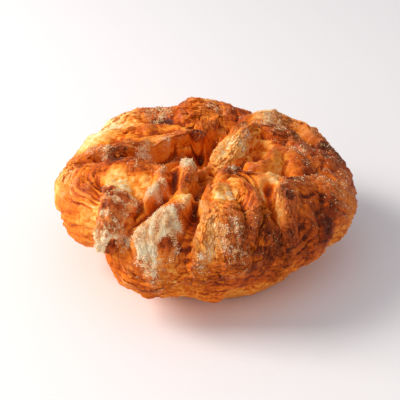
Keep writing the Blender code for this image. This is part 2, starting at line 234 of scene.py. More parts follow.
# %% [markdown]
# ## The folds
#
# Each fold is a puffed ridge along a crest line on the chart. It has a left and a right side, as seen by
# someone who walks along the crest, because a petal is steep where it broke open and gentle behind. A fold
# that leans hangs over the crease beside it. Five petals make up this cake, and each has a body, its ridges
# and its torn edges.

# %% The table of folds
class Fold(NamedTuple):
    """A puffed ridge of dough. The left side is the left of someone who walks along the crest."""

    crest: tuple  # azimuth and distance of the crest line's own points, with the crest's height above the cup
    left: float  # distance from the crest to the fold's left edge
    right: float  # the same on the right
    lean: float = 0.0  # how far the crest is pulled to the left


FOLDS = {
    # The bodies of the petals: broad swellings that carry the ridges below.
    "back_left_body": Fold(((122, 20, 7), (140, 30, 8), (152, 38, 7)), 15, 13),
    "back_right_body": Fold(((28, 12, 4), (14, 24, 4.6), (2, 36, 6)), 14, 14),
    "right_body": Fold(((316, 20, 5.5), (322, 31, 6), (326, 42, 5.5)), 13, 13),
    "front_body": Fold(((280, 20, 4.8), (274, 31, 5.6), (270, 42, 5.4)), 14, 14),
    "front_left_body": Fold(((246, 22, 3.8), (243, 33, 4.4), (240, 43, 5)), 10, 10),
    "left_body": Fold(((212, 22, 6.6), (204, 32, 6.8), (200, 42, 6)), 12, 15),
    # The petal at the back left: its top, and the lip that hangs over the long crevice in front of it.
    "back_left_top": Fold(((106, 31, 9.6), (120, 34, 10), (131, 38, 9.6), (144, 41, 7.4)), 9, 8),
    "back_left_shoulder": Fold(((134, 24, 8.6), (148, 31, 8.4), (160, 35, 7.6)), 6, 6),
    "back_left_lip": Fold(
        (
            (96, 11.5, 8.5), (119, 11.5, 9.6), (146, 13.5, 9.6), (160, 16.5, 9.4), (168, 20.5, 9),
            (171, 26, 8.6), (170, 31.5, 8), (170, 37, 6.8),
        ),
        2,
        10,
        1.4,
    ),
    # The petal at the back: a broad lobe whose face runs down to the hole in the middle.
    "back_lobe": Fold(
        ((104, 31, 9.5), (93, 30, 11.4), (84, 29, 11.6), (74, 29, 10.6), (64, 31, 8.3), (56, 32, 6.4)),
        8,
        12,
    ),
    "back_tongue": Fold(((72, 5, 4.5), (80, 12, 7.6), (84, 21, 9.6)), 6, 6),
    # The petal at the back right: a scroll whose outer roll goes round a hollow and a small puff.
    "scroll_roll": Fold(
        (
            (330, 4, 5), (10, 6, 7.5), (36, 10, 9.2), (46, 16, 10.2), (45, 22, 10.4), (36, 25, 10.2),
            (27, 27, 9.8), (18, 30, 9.4), (11, 32, 8.8), (5, 35, 8.2), (357, 38, 7.2),
        ),
        5.5,
        6.5,
        -0.8,
    ),
    "scroll_back": Fold(
        ((58, 25, 9.8), (49, 28, 10.9), (43, 31, 11), (36, 34, 10.4), (27, 36, 9), (16, 38, 7.6)),
        7,
        2.6,
    ),
    "scroll_puff": Fold(
        ((347, 17, 8), (356, 19.5, 9.9), (3, 22.5, 10.2), (1, 26, 9.4), (354, 30, 8.2)), 4.4, 6.4
    ),
    # The petal at the right: a sheet with a raised edge, then ridges that run down to the rim.
    "right_edge": Fold(
        (
            (303, 13, 9.2), (309, 18, 9.3), (317, 21, 9.3), (323, 25, 9.3), (328, 29, 9.3), (336, 32, 9),
            (344, 35, 8.2),
        ),
        2.2,
        7,
        1,
    ),
    "right_peak": Fold(((292, 16, 10.2), (306, 15, 10)), 3.4, 3.4),
    "right_ridge": Fold(((325, 28, 9.3), (315, 32, 9.2), (309, 36, 8.8), (307, 40, 7)), 9, 2.8, -1),
    "right_wall": Fold(((340, 35, 7.6), (335, 40, 7.2), (330, 45, 4.4)), 11, 10),
    "right_flank": Fold(((10, 39, 7.4), (356, 42, 7.4), (344, 45, 6)), 8, 10),
    # The petal at the front: a pocket with a rim round it, and two sugared ridges beside a smooth hollow.
    "front_pocket": Fold(((284, 21, 8.6), (285, 28, 8.8)), 5, 5),
    "pocket_rim": Fold(
        ((298, 16, 9), (301, 23, 9.6), (299, 29, 9.6), (294, 34, 9), (289, 38, 7.6)), 3.2, 5, 0.8
    ),
    "front_ridge": Fold(
        ((270, 27, 8.4), (273, 32, 8.5), (271, 36, 8.1), (269, 39, 6.7), (270, 43, 5.4)), 7, 2.6, -0.8
    ),
    "front_flank": Fold(((305, 36, 6.4), (298, 39, 6.6), (292, 43, 5)), 6, 6),
    "front_shoulder": Fold(
        ((281, 29, 9), (284, 33, 9.7), (284, 37, 9.5), (284, 41, 8), (284, 44, 5.6)), 5, 9
    ),
    "front_left_ridge": Fold(
        (
            (262, 26, 8.8), (258, 30, 9.8), (257, 34, 10), (256.5, 37, 9.3), (255.5, 40, 7.8),
            (254, 43, 5.8),
        ),
        3.8,
        9.5,
        -0.6,
    ),
    "front_left_cheek": Fold(((250, 32, 5.8), (246.5, 36, 7.3), (244, 39, 7.4), (244, 42, 5.9)), 10, 3.4),
    # The petal at the left: a pale shelf, its sugared knobs, the tip that reaches the middle and the tip's
    # curled edge.
    "left_shelf": Fold(
        (
            (215, 16, 8.4), (205, 18, 8.8), (196, 22, 8.8), (189, 27, 8.6), (187, 31, 8.2),
            (184, 35, 7.6),
        ),
        12,
        3.4,
        -0.6,
    ),
    "shelf_knob": Fold(((226, 18, 9.2), (238, 22, 9.4), (240, 27, 8.2)), 4, 4),
    "left_tip": Fold(((236, 9, 8.6), (249, 14, 9.4), (252, 21, 8.4)), 4, 6.5, 0.6),
    "tip_edge": Fold(
        ((266, 12, 7.6), (263, 18, 7.8), (261, 23, 7.6), (254, 26, 7), (245, 27, 6)), 1.6, 2.2
    ),
    "middle_curl": Fold(((272, 14, 7), (275, 21, 7.6)), 3, 3),
    "shelf_end": Fold(((171, 36, 7), (179, 39, 7.4), (187, 39, 7.4), (194, 37, 7.4)), 5, 5),
    # The corner of the sheet that stands up at the front left, dark and sugared.
    "standing_corner": Fold(((215, 31, 8.2), (222, 35, 9), (227, 38.5, 9.6), (230, 41, 9.2)), 7, 2, -1.4),
    # The rim, where the dough took the tin's shape and bulged over it.
    "left_rim": Fold(((178, 41, 6.4), (192, 41, 6.8), (204, 42, 5.2), (214, 42, 3)), 9, 6.5),
    "front_rim": Fold(
        (
            (232, 44, 5.6), (241, 45, 6), (251, 46, 5.4), (262, 45, 4.6), (274, 44, 4.6), (288, 44, 4.6),
            (302, 44, 5), (314, 45, 4.6),
        ),
        7,
        7,
    ),
    "back_rim": Fold(((100, 44, 5.6), (80, 45, 6.2), (60, 44, 5.8), (40, 45, 6), (20, 45, 6)), 10, 12),
    "back_left_rim": Fold(((174, 43, 6), (156, 45, 6.2), (138, 45, 6.4), (118, 45, 5.6)), 12, 10),
}


class Hollow(NamedTuple):
    """A valley between folds, or the inside of one: the dough is no higher than its floor there."""

    crest: tuple  # azimuth and distance of the floor line's own points, with the floor's height above the cup
    left: float  # distance from the floor line at which the wall is HOLLOW_WALL high
    right: float  # the same on the right


HOLLOWS = {
    "front_hollow": Hollow(((266, 22, 4), (266, 26, 3), (265, 30, 3)), 1.9, 1.9),
    "front_dish": Hollow(((266, 32, 4), (265.5, 37, 3.8), (263.5, 42, 4)), 3.2, 3.4),
    "left_crevice": Hollow(((243, 24, 3.4), (240.5, 29, 2.8), (237, 33.5, 3), (234.5, 36.5, 5)), 3, 2.6),
    "back_wall": Hollow(
        ((176, 36, 5), (179, 27, 4), (172, 20, 3), (163, 13.5, 1), (130, 7.5, 0), (96, 7.5, -1)),
        2,
        2.2,
    ),
    "middle_hole": Hollow(((95, 8, -1.5), (100, 4, -2), (250, 0.8, -0.5)), 2.4, 3),
    "back_crevice": Hollow(((73, 20, 6.8), (73, 15, 4), (75, 10, 1), (76, 5, -2)), 2.2, 2.2),
    "scroll_hollow": Hollow(((25, 20, 3.8), (10, 17, 3.2), (352, 16, 4.2)), 3.4, 3.4),
    "scroll_groove": Hollow(((33, 22, 6.4), (22, 25, 6.4), (12, 28, 6.2), (358, 32, 6.6)), 1.5, 1.5),
    "right_crevice": Hollow(
        (
            (290, 5, 0), (309, 10, 3), (315, 15, 4.5), (323, 19, 5), (329, 23, 5), (334, 27, 5),
            (342, 31, 5.5), (350, 34, 5.5),
        ),
        1.8,
        1.2,
    ),
    "right_valley": Hollow(((314, 27, 4.4), (309, 31, 4), (305, 37, 4.8)), 3, 3),
    "knob_valley": Hollow(((215, 10, 5), (236, 15, 4.8), (245, 21, 5)), 2.2, 2.2),
    "middle_valley": Hollow(((266, 7, 1), (270, 15, 2.4), (265, 20, 3.6)), 2.6, 2.6),
    "roll_hole": Hollow(((18, 35, 6), (14, 36, 6)), 1.8, 1.8),
    "corner_valley": Hollow(((203, 34, 4.8), (210, 38, 4.4), (213, 43, 4.6)), 3.6, 3.6),
    "wall_crease": Hollow(((336, 37.5, 6.2), (330, 40, 5.2), (325, 42, 4.2), (324, 45, 3)), 2.2, 2.2),
    "wall_groove": Hollow(((326, 35, 7.4), (318, 38.5, 6.2), (314, 42, 4.8)), 1.8, 1.8),
    "back_left_seam": Hollow(((103, 34, 7.6), (107, 41, 4.6), (113, 48, 2.4), (120, 56, 1)), 2.4, 2.8),
    "back_right_seam": Hollow(((55, 31, 8), (51, 38, 4.6), (45, 46, 2.4), (38, 55, 1)), 2.4, 2.8),
    "right_seam": Hollow(((9, 41, 5.6), (5, 47, 3.2), (358, 55, 1)), 2.2, 2.6),
    "left_seam": Hollow(((168, 45, 4.4), (161, 50, 2.6), (152, 57, 0.8)), 2.2, 2.6),
    "pocket_floor": Hollow(((285, 23, 7.9), (286, 26, 8.1)), 4, 4),
}
# How folds join and fade.
CREASE_SOFTNESS = 0.45
ARCH_SHOULDER = 2.2
ARCH_POWER = 0.62
HOLLOW_WALL = 5.0
HOLLOW_POWER = 2.2
HOLLOW_REACH = 4.0
FOOT_FADE = 13.0
WARP = 0.6
WARP_SIZE = 6.5
CREST_STEPS = 6

print(len(FOLDS), "folds and", len(HOLLOWS), "hollows on the chart")

# %% [markdown]
# ## From crest lines to a surface
#
# At each place the script asks every fold how near its crest is. The answer is a share, 0 on the crest and
# 1 at the fold's edge, and a puffed arch turns it into a rise. The highest fold wins, with a soft maximum,
# so the folds meet in creases like those of real dough. The same step remembers which fold won and how the
# place lies in it, because the layers, the colour and the sugar all follow the folds.

# %% Rise of the dough
def curve(rows, steps):
    """A Catmull-Rom curve through the rows of values, at even steps from the first row to the last."""
    rows = np.asarray(rows, float)
    padded = np.concatenate([[2 * rows[0] - rows[1]], rows, [2 * rows[-1] - rows[-2]]])
    t = np.linspace(0, len(rows) - 1, steps)
    start = np.minimum(t.astype(int), len(rows) - 2)
    t = (t - start).reshape(-1, *[1] * (rows.ndim - 1))
    before, first, second, after = (padded[start + i] for i in range(4))
    line = 2 * first + (second - before) * t
    bend = (2 * before - 5 * first + 4 * second - after) * t**2
    return 0.5 * (line + bend + (3 * first - before - 3 * second + after) * t**3)


def crest_line(pairs):
    """Points of a smooth line on the chart through the places of a list of (azimuth, distance)."""
    own = places(pairs)
    return curve(own, CREST_STEPS * (len(own) - 1) + 1)


def measure(fold, chart):
    """Share of the way to the fold's edge, the crest's height and way along it there, and the crest's left."""
    azimuth, distance, heights = zip(*fold.crest)
    line = crest_line(zip(azimuth, distance))
    start, run = line[:-1], np.diff(line, axis=0)
    length = np.hypot(run[:, 0], run[:, 1])
    heading = run / length[:, None]
    offset = chart[:, None, :] - start[None]
    along = offset[..., 0] * heading[:, 0] + offset[..., 1] * heading[:, 1]
    across = offset[..., 1] * heading[:, 0] - offset[..., 0] * heading[:, 1]
    beyond = along - np.clip(along, 0, length)
    side = np.where(across > 0, fold.left, fold.right)
    share = np.hypot(beyond / math.sqrt(fold.left * fold.right), across / side)
    nearest = share.argmin(axis=1)
    row = np.arange(len(chart))
    clipped = np.clip(along[row, nearest], 0, length[nearest])
    way = (nearest + clipped / length[nearest]) / len(length)
    height = np.interp(way, np.linspace(0, 1, len(heights)), heights)
    travelled = np.concatenate([[0], np.cumsum(length)])[nearest] + along[row, nearest]
    left = np.column_stack([-heading[nearest, 1], heading[nearest, 0]])
    return share[row, nearest], height, travelled, left


class Lie(NamedTuple):
    """How each place lies in the folds."""

    rise: np.ndarray  # millimetres above the cup
    pull: np.ndarray  # shift on the chart by the leaning of the fold
    own: np.ndarray  # number of the fold that is highest there
    share: np.ndarray  # share of the way to that fold's edge
    along: np.ndarray  # distance along its crest, in millimetres
    sunk: np.ndarray  # how much of the fold a hollow takes away, in millimetres


def carve(rise, chart):
    """The soft minimum of the rise and of every hollow's limit, which climbs from its floor to both sides."""
    low = rise
    for hollow in HOLLOWS.values():
        share, floor, *_ = measure(hollow, chart)
        limit = floor + HOLLOW_WALL * np.minimum(share, HOLLOW_REACH) ** HOLLOW_POWER
        least = np.minimum(low, limit)
        excess = sum(np.exp((least - height) / CREASE_SOFTNESS) for height in (low, limit))
        low = least - CREASE_SOFTNESS * np.log(excess)
    return low


def raise_folds(chart):
    """The soft maximum of the folds' arches, 0 at the edge and full on the crest, and how each place lies."""
    chart = chart + WARP * np.column_stack([chart_noise(chart, WARP_SIZE, seed) for seed in (11, 12)])
    rises, pulls, shares, alongs = [], [], [], []
    for fold in FOLDS.values():
        share, height, travelled, left = measure(fold, chart)
        arch = limited(1 - share**ARCH_SHOULDER) ** ARCH_POWER
        rises.append(height * arch)
        pulls.append(left * (fold.lean * arch**2)[:, None])
        shares.append(share)
        alongs.append(travelled)
    rises = np.array(rises)
    top = rises.max(axis=0)
    weights = np.exp((rises - top) / CREASE_SOFTNESS)
    weights /= weights.sum(axis=0)
    pull = (np.array(pulls) * weights[..., None]).sum(axis=0)
    own, row = rises.argmax(axis=0), np.arange(len(chart))
    carved = carve(top, chart)
    return Lie(carved, pull, own, np.array(shares)[own, row], np.array(alongs)[own, row], top - carved)


# %% [markdown]
# ## What the oven did where
#
# The photograph shows pale dough in sheltered places, golden dough on the slopes, and caramel and burnt
# sugar on the crests and on the right wall. So each petal has a few spots on the chart with how far they
# baked, from 0 for pale butter to 1 for burnt sugar. Two spots in the hole in the middle are painted shade,
# and two on the back left rim are pale dough and a painted glow. Between spots the level is a weighted mean,
# so that the colours run into each other. Sugar lies in patches where the baker's hand dropped it, and
# patches add up. Noise breaks up the edges of both later.

# %% Spots of browning and patches of sugar
# Azimuth, distance and radius of a spot in degrees and millimetres, and its level.
BROWNING = {
    "back left petal": (
        # The first spot and the one at (150, 36) are pale dough and a painted glow, the window's light coming
        # through the thin back left rim.
        (134, 37.6, 6, 0), (132, 33, 4, 0.36), (122, 30.6, 5, 0.88), (107, 28.4, 4, 0.7),
        (114, 25.4, 1.2, 1.2), (150, 27, 5, 0.54), (150, 36, 5, 0.02), (169, 32.8, 2.4, 0.62),
        (174, 26, 2.4, 0.84), (172, 19, 3, 0.5), (156, 16.6, 2.5, 0.4), (143, 12.8, 1.6, 0.6),
        (120, 11.4, 1.8, 0.56), (143, 24, 2.5, 0.66), (102, 11.2, 1.6, 0.92), (92, 12.4, 1.8, 0.84),
    ),
    "back petal": ((92, 27.9, 3, 0.38), (83, 25.8, 2.6, 0.57), (87, 18, 4, 0.6), (64, 26.4, 4, 0.82)),
    "scroll": (
        # The first two spots darken the hole in the middle past burnt: painted shade.
        (320, 0.8, 1.2, 1.05), (95, 6, 2, 1.25), (338, 4.4, 2.2, 0.24), (19, 6.5, 2.5, 0.2),
        (28, 10.5, 3, 0.06), (44, 15.1, 3, 0.58), (44, 23.2, 3, 0.54), (25, 26.9, 3, 0.76),
        (22, 31.8, 3, 0.66), (11, 36.8, 4, 0.92), (359, 39.1, 4, 0.76), (37, 24.8, 1.8, 0.76),
        (25, 20.6, 2.5, 0.2), (353, 18, 2, 0.92), (350, 22, 2.4, 0.34), (2, 24.3, 2, 0.56),
        (8, 29.8, 2.5, 0.9), (355, 29.7, 3, 0.72), (17, 36.5, 1.5, 1.2), (50, 28, 3, 0.06),
        (35, 34, 4, 0.4),
    ),
    "right petal": (
        (301, 15.8, 2.2, 0.87), (309, 18.7, 2, 0.82), (318, 22, 2.5, 0.44), (325, 25, 2.5, 0.2),
        (333, 29, 3, 1), (302, 24.2, 2.4, 0.62), (298, 30, 2.4, 0.66), (316, 27, 2, 0.02),
        (312, 31.5, 2.2, 0.28), (308, 36.8, 2.4, 0.1), (319, 32.8, 2, 0.9), (313, 36.6, 2, 0.66),
        (310, 40, 2.4, 0.82), (327, 34, 3, 0.68), (327, 37.4, 2.2, 0.94), (334, 39.8, 2.6, 1.06),
        (327, 42.2, 2.6, 1.12), (328, 45.5, 2.4, 0.9), (346, 40.3, 5, 0.57), (339, 42.5, 3, 0.62),
        (337, 45.5, 3, 0.58), (358, 41.4, 5, 0.66), (346, 43.7, 3, 0.36), (348, 33, 2.4, 0.95),
    ),
    "front petal": (
        (288, 23.8, 2.6, 0.02), (286, 20.2, 2.5, 0.36), (295, 23.3, 2.2, 0.6), (295, 27.9, 2.2, 0.6),
        (292, 33.7, 2.6, 0.62), (274, 33.4, 3.5, 0.36), (276, 37.2, 3.5, 0.08), (272, 40.5, 3, 0.36),
        (279, 39.4, 3.5, 0.6), (284, 36.8, 3, 0.62), (284, 42, 3, 0.66), (291, 39.4, 4, 0.8),
        (299, 40.2, 4, 0.84), (307, 43.1, 3, 0.74), (314, 41.9, 3, 0.9), (318, 45.9, 4, 0.8),
        (301, 44.1, 4, 0.84), (288, 44.3, 3, 0.84), (277, 46, 4, 0.8), (269, 47, 4, 0.64),
        (275, 44, 2.2, 0.96), (275.5, 35.7, 1.6, -0.05),
    ),
    "front left ridge": (
        (253, 35.1, 3, 0.6), (250, 37.5, 3, 0.5), (256, 39.4, 2, 1.1), (259, 31.3, 2.4, 0.74),
        (263, 25.5, 2.4, 0.08), (255, 42.4, 2.4, 0.46), (263, 41, 2, 0.74), (254, 43.5, 3.5, 0.38),
        (258, 45.8, 3, 0.6), (242, 42.8, 3, 0.57), (248, 44.8, 3, 0.72), (251, 46.5, 3, 0.74),
    ),
    "left petal": (
        (259, 13.9, 2, 0.48), (248, 16.9, 2.4, 0.8), (259, 19.4, 1.8, 0.52), (241, 16.5, 2, 0.05),
        (264, 15, 1.5, 0.02), (218, 28.1, 3.4, 0), (206, 30, 3.4, 0.26), (223, 24.6, 2.6, 0.46),
        (204, 22, 3, 0.8), (195, 30, 2.6, 0.8), (190, 26, 2.6, 1), (212, 18.4, 2.6, 0.7),
        (222, 15.5, 2.4, 0.68), (225, 21.5, 2.4, 0.26), (238, 20, 2.6, 0.66), (236, 24.1, 2.4, 0.44),
        (187, 36.8, 3, 0.7), (196, 34.3, 3, 0.64), (193, 40.6, 4, 0.54), (202, 40.7, 3.5, 0.58),
        (210, 41.8, 3, 0.14), (207, 44, 4, 0.52), (186, 40.2, 4, 0.06),
    ),
    "standing corner": (
        (221, 33, 2.4, 0.74), (228, 34, 2.4, 0.62), (230, 37.6, 2.6, 0.68), (232, 40.2, 2.4, 0.66),
        (235, 42.6, 1.6, 0.55), (234, 35.6, 2.6, 0.4), (229, 30, 2.6, 0.38), (237, 39.5, 2.4, 0.62),
    ),
    "foot": tuple((azimuth, 56, 8, 0.48) for azimuth in range(0, 360, 20)),
}
# The same, with how thick the sugar lies. A negative one is a place where it melted away.
SUGAR = {
    "back left petal": (
        (173, 28.2, 2, 0.66), (172, 19, 2.2, 0.75), (150, 13.4, 1.6, 0.5), (120, 29.5, 5, 0.42),
        (108, 30, 3, 0.12), (168, 33, 3, 0.35), (163, 17, 2, 0.3),
    ),
    "back petal": ((84, 25.8, 2.2, 0.5), (76, 25, 2.2, 0.25)),
    "scroll": (
        (28, 11.6, 3, 0.28), (38, 15, 2.4, 0.35), (44, 20, 2.4, 0.3), (42, 24.5, 2.4, 0.4),
        (30, 27, 2.6, 0.28), (19, 30, 3, 0.22), (3, 25.5, 1.8, 0.3), (6, 29, 2, 0.38), (11, 36, 5, 0.14),
        (350, 21.5, 2.8, -0.6), (40, 32, 5, 0.25), (47, 28.4, 2.6, 0.45), (42, 29.7, 2.4, 0.3),
    ),
    "right petal": (
        (301, 15.8, 2, 0.34), (319, 32.8, 1.4, 0.25), (330, 32, 5, 0.16), (345, 41, 6, 0.2),
        (355, 34, 5, 0.22), (320, 26, 3, 0.25),
    ),
    "front petal": (
        (274, 33.4, 2.6, 0.36), (277, 37.2, 2.6, 0.36), (280, 39.4, 2.6, 0.36), (272, 40.5, 2.2, 0.5),
        (284, 36, 2.2, 0.4), (269, 43, 2, 0.4), (285, 42, 3, 0.2), (272, 28, 2, 0.3), (288, 24.4, 3, -0.6),
    ),
    "front left ridge": (
        (247, 38.5, 3, 1.2), (252, 35.5, 3, 1.1), (249, 41, 2.6, 0.95), (255, 32.5, 2, 0.55),
        (255, 37.4, 2.4, 0.7), (252, 42, 2.2, 0.5), (254, 45, 3.2, 0.42), (260, 29.5, 1.6, 0.3),
        (262, 26, 1.6, 0.45), (259, 36.4, 2, 0.5), (259.5, 41, 1.6, 0.5), (256, 39.4, 1.5, -0.8),
    ),
    "left petal": (
        (246, 10.6, 2.5, 0.85), (237, 22, 2.2, 0.5), (234, 25, 2.2, 0.75), (204, 22, 1.6, 0.45),
        (193, 40.6, 2.6, 0.35), (186, 38, 2, 0.3), (222, 16.5, 2.4, 0.3), (241, 30, 2, -0.6),
    ),
    "standing corner": (
        (232, 40.6, 2, 0.95), (228, 38, 1.8, 0.3), (223, 34, 2.6, 0.3), (229, 30.5, 2.2, 0.6),
        (234, 36.5, 2, 0.36), (238, 40, 2, 0.6), (218, 32, 1.6, 0.3),
    ),
}
# The same, with how far the layers tore open. A negative one is a place where the skin stayed smooth.
TORN = {
    "left petal": ((187, 36.8, 4.5, 0.3), (196, 34, 4, 0.3), (178, 38, 4, 0.2), (259, 16, 3, 0.5)),
    "scroll": (
        (19, 6.5, 3.5, 1), (28, 11, 3.5, 1), (338, 5, 3, 0.8), (44, 20, 4, 0.8), (25, 27, 4, 0.7),
        (40, 30, 4, 0.8),
    ),
    "back petal": ((87, 18, 5, 1), (90, 26, 4, 0.7)),
    "back left lip": ((172, 22, 5, 0.8), (140, 32, 6, 0.5)),
    "front petal": (
        (274, 35, 5, 0.9), (280, 39, 4, 0.8), (272, 42, 4, 0.8), (295, 25, 5, 1), (297, 31, 4, 0.9),
    ),
    "right petal": ((312, 32, 4, 0.5), (340, 42, 8, 0.15), (300, 42, 6, 0.6)),
    "smooth hollows": ((264, 35, 5, -0.45), (266, 29, 4, -0.4), (241, 30, 4, -0.4)),
    "front rim": ((245, 45, 6, 0.3), (256, 46, 6, 0.3), (268, 46, 6, 0.5)),
}
GROUND = 0.55  # the level far from every spot
GROUND_WEIGHT = 0.12


def bells(chart, table):
    """Weight of each spot at each place, a bell that is a third high at the spot's radius, and the values."""
    rows = np.array([row for rows in table.values() for row in rows], float)
    away = np.linalg.norm(chart[:, None] - places(rows[:, :2])[None], axis=2)
    return np.exp(-((away / rows[:, 2]) ** 2)), rows[:, 3]


def painted(chart, table):
    """Weighted mean of the spots' levels and the ground's."""
    weights, levels = bells(chart, table)
    return (weights @ levels + GROUND_WEIGHT * GROUND) / (weights.sum(axis=1) + GROUND_WEIGHT)


def heaped(chart, table):
    """Sum of the patches."""
    weights, amounts = bells(chart, table)
    return weights @ amounts


# %% [markdown]
# ## The skin's relief
#
# Five things shape the crust below the size of a fold: the steps where layers end, blisters, peeling
# plates, a fine crumple and lumps of sugar. The layers follow the folds: each step is a line at the same
# share of the way to a fold's edge, like a contour on a map, because that is how a puffed sheet tears. A
# step rises slowly and breaks off short. On the rim the layers run round the cake instead, and in two
# places, the swirls, they run round a point, as where the sheet was rolled in.

# %% Relief
SAW_MIDDLE = 0.4  # taken off, so that a step goes as far down as up
# Steps round the rim: where on the chart, how far apart and how deep, and the noise that bends them.
LEDGE_MIDDLE = 45.0
LEDGE_SPREAD = 9.0
LEDGE_GAP = 2.3
LEDGE_DEPTH = 1.5
LEDGE_BENDS = ((14.0, 6, 5.0), (4.0, 8, 0.8))
# Finer steps round each crest. FOLD_OFFSET puts one fold's out of step with the next one's.
LAYER_GAP = 1.6
LAYER_DEPTH = 0.85
LAYER_BEND = 1.2
FOLD_OFFSET = 0.37
CREASE_SHARE = 0.35
# Beyond this distance on the chart they run round the cake, but faintly on the side at azimuth CALM_SIDE.
RIM_LAYERS = 42.0
RIM_BORDER = 1.5
RIM_WAVES = 2.0
RIM_ORDER = 0.85
CALM_SIDE = 200
CALM_REACH = 32
CALM = 0.75
# Places where the layers run round a point: its azimuth and distance, where the round layers begin and end,
# and the direction on the chart in which they lie, with how far they reach to both sides of it, in degrees.
SWIRLS = ((202, 29, 5.0, 13.0, 205, 75), (287, 24, 4.2, 10.0, 60, 115))
SWIRL_BORDER = 1.5
SWIRL_FADE = 15
ROUND_STRAIGHT = 0.75  # how much straighter round layers are than the others
ROUND_SLOPE = 0.8  # how deep they are

BLISTER_SIZE = 2.6
BLISTER_HEIGHT = 0.5
BLISTER_LUCK = 0.45
BLISTER_REACH = (0.28, 0.58)
SUGAR_HEAP = 0.5
SUGAR_LUMPS = ((1.3, 81, 0.5), (0.7, 82, 0.3))
# Sizes, seeds and heights of the noise whose contours are the plates, and of the crumple's octaves.
PLATES = (((9.0, 9.0, 5.0), 71, 3.5), (2.0, 72, 0.5))
PLATE_DEPTH = 0.45
CRUMPLE = ((2.4, 41, 0.45), (1.5, 42, 0.35), (0.9, 43, 0.25))


def saw(turns):
    """A step for each whole turn: a slow rise to 0.8 and then a sharp fall, from 0 to 0.8."""
    part = turns % 1.0
    return np.minimum(part, (1 - part) * 4)


def ledges(chart, plain):
    """Edges of the layers round the rim: steps that rise slowly and break off, one below the other."""
    distance = distance_of(chart)
    step = (distance + mixed(plain, *LEDGE_BENDS)) / LEDGE_GAP
    near = np.exp(-(((distance - LEDGE_MIDDLE) / LEDGE_SPREAD) ** 2)) * limited(0.7 + noise(plain / 7.0, 7))
    return LEDGE_DEPTH * near * (saw(step) - SAW_MIDDLE)


def at_rim(chart):
    """1 on the rim and below it, where the layers run round the cake, and 0 on top, with a wavy border."""
    return limited((distance_of(chart) + chart_noise(chart, 8.0, 23) * RIM_WAVES - RIM_LAYERS) / RIM_BORDER)


def turned_from(offset, direction):
    """How far each offset on the chart is turned from the direction, from -180 to 180 degrees."""
    return (azimuth_of(offset) - direction + 180) % 360 - 180


def in_swirl(chart, azimuth, distance, least, most, direction, reach):
    """1 where the layers run round the point, with soft edges, and 0 elsewhere, and the way to the point."""
    offset = chart - places([(azimuth, distance)])
    away = distance_of(offset)
    sector = limited((reach - np.abs(turned_from(offset, direction))) / SWIRL_FADE)
    return limited(np.minimum(away - least + 1, most + 1 - away) / SWIRL_BORDER) * sector, away


def layer_coordinate(lie, chart):
    """Millimetres from the crest or the middle of round layers to the place: the same all along a layer."""
    widths = np.array([0.5 * (fold.left + fold.right) for fold in FOLDS.values()])
    coordinate = np.where(at_rim(chart) > 0.5, distance_of(chart), lie.share * widths[lie.own])
    for swirl in SWIRLS:
        inside, away = in_swirl(chart, *swirl)
        coordinate = np.where(inside > 0.5, away, coordinate)
        coordinate = np.where(away < swirl[2], swirl[2], coordinate)
    return coordinate


def swirled(chart):
    """1 where layers run round a swirl's point, less where they run round the rim, and 0 elsewhere."""
    calm = CALM * np.exp(-((turned_from(chart, CALM_SIDE) / CALM_REACH) ** 2))
    here_and_there = np.clip(0.7 + 1.2 * chart_noise(chart, 10.0, 24), 0.2, 1)
    rim = RIM_ORDER * (1 - calm) * here_and_there * at_rim(chart)
    return np.max([rim, *(in_swirl(chart, *swirl)[0] for swirl in SWIRLS)], axis=0)


def fine_layers(lie, chart, plain):
    """Thin steps round each crest, deep on the slopes and faint on the crest, and where their creases are."""
    even = swirled(chart)
    bend = noise(plain / 7.0, 21) * LAYER_BEND * (1 - ROUND_STRAIGHT * even)
    steps = saw(layer_coordinate(lie, chart) / LAYER_GAP + bend + lie.own * FOLD_OFFSET * (even < 0.5))
    slope = limited(lie.share * 2.5) * limited(0.65 + noise(plain / 5.0, 22))
    slope = np.maximum(slope, ROUND_SLOPE * even)
    return LAYER_DEPTH * slope * (steps - SAW_MIDDLE), slope * limited(1 - steps / CREASE_SHARE)


def blisters(plain):
    """Domes over cell noise where the cell's own luck is good."""
    away, luck = cells(plain / BLISTER_SIZE, 31)
    least, most = BLISTER_REACH
    dome = np.sqrt(limited(1 - (away / (least + (most - least) * luck)) ** 2))
    return BLISTER_HEIGHT * dome * limited((luck - BLISTER_LUCK) * 3)


def peeling(plain):
    """Plates of crust that peel: steps along a slow noise's contours, like the edges of piled torn sheets."""
    return PLATE_DEPTH * (saw(mixed(plain, *PLATES)) - SAW_MIDDLE)


def sugar_lumps(thick, plain):
    """Height of the unmelted sugar: a heap over each patch, broken into lumps a millimetre across."""
    return thick * (SUGAR_HEAP + mixed(plain, *SUGAR_LUMPS))


def crumple(points):
    """Three octaves of creased noise: one minus the size of the noise, squared, so that ridges are sharp."""
    return sum(
        height * ((1 - np.abs(noise(points / size, seed))) ** 2 - 0.5) for size, seed, height in CRUMPLE
    )


def fade_at_foot(distance):
    """1 over the cake, and a smooth fall to 0 at the foot's edge, so that the bottom stays flat."""
    keep = limited((WAY[-1] - distance) / FOOT_FADE)
    return keep * keep * (3 - 2 * keep)


# %% [markdown]
# ## The crust
#
# The crust is a grid of rings and spokes on the chart, closed at the middle of the top and by a flat
# bottom. It has just under 200,000 triangles, and a point about every 0.45 mm. The rings are closer on the
# chart where the dough is steep, so that walls have as many points as tops. The browning, the sugar and the
# place in the layers are stored on the points, so that the material can follow them.

# %% Work out the crust
AROUND = 640
RINGS = 154
COARSE_SPOKES = 160
EVENNESS = 0.7
SMOOTH_PASSES = 6
WANDER = ((9.0, 4, 1.2), (4.0, 5, 0.6))  # slow noise under everything
# How far the relief is held back: in a hollow so deep, where the layers are round, and under sugar.
HOLLOW_CALM = 0.75
HOLLOW_DEPTH = 2.5
ROUND_CALM = 0.75
ROUND_LAYERS = 0.95
SUGAR_CALM = 0.5
SUGAR_COVER = 0.85
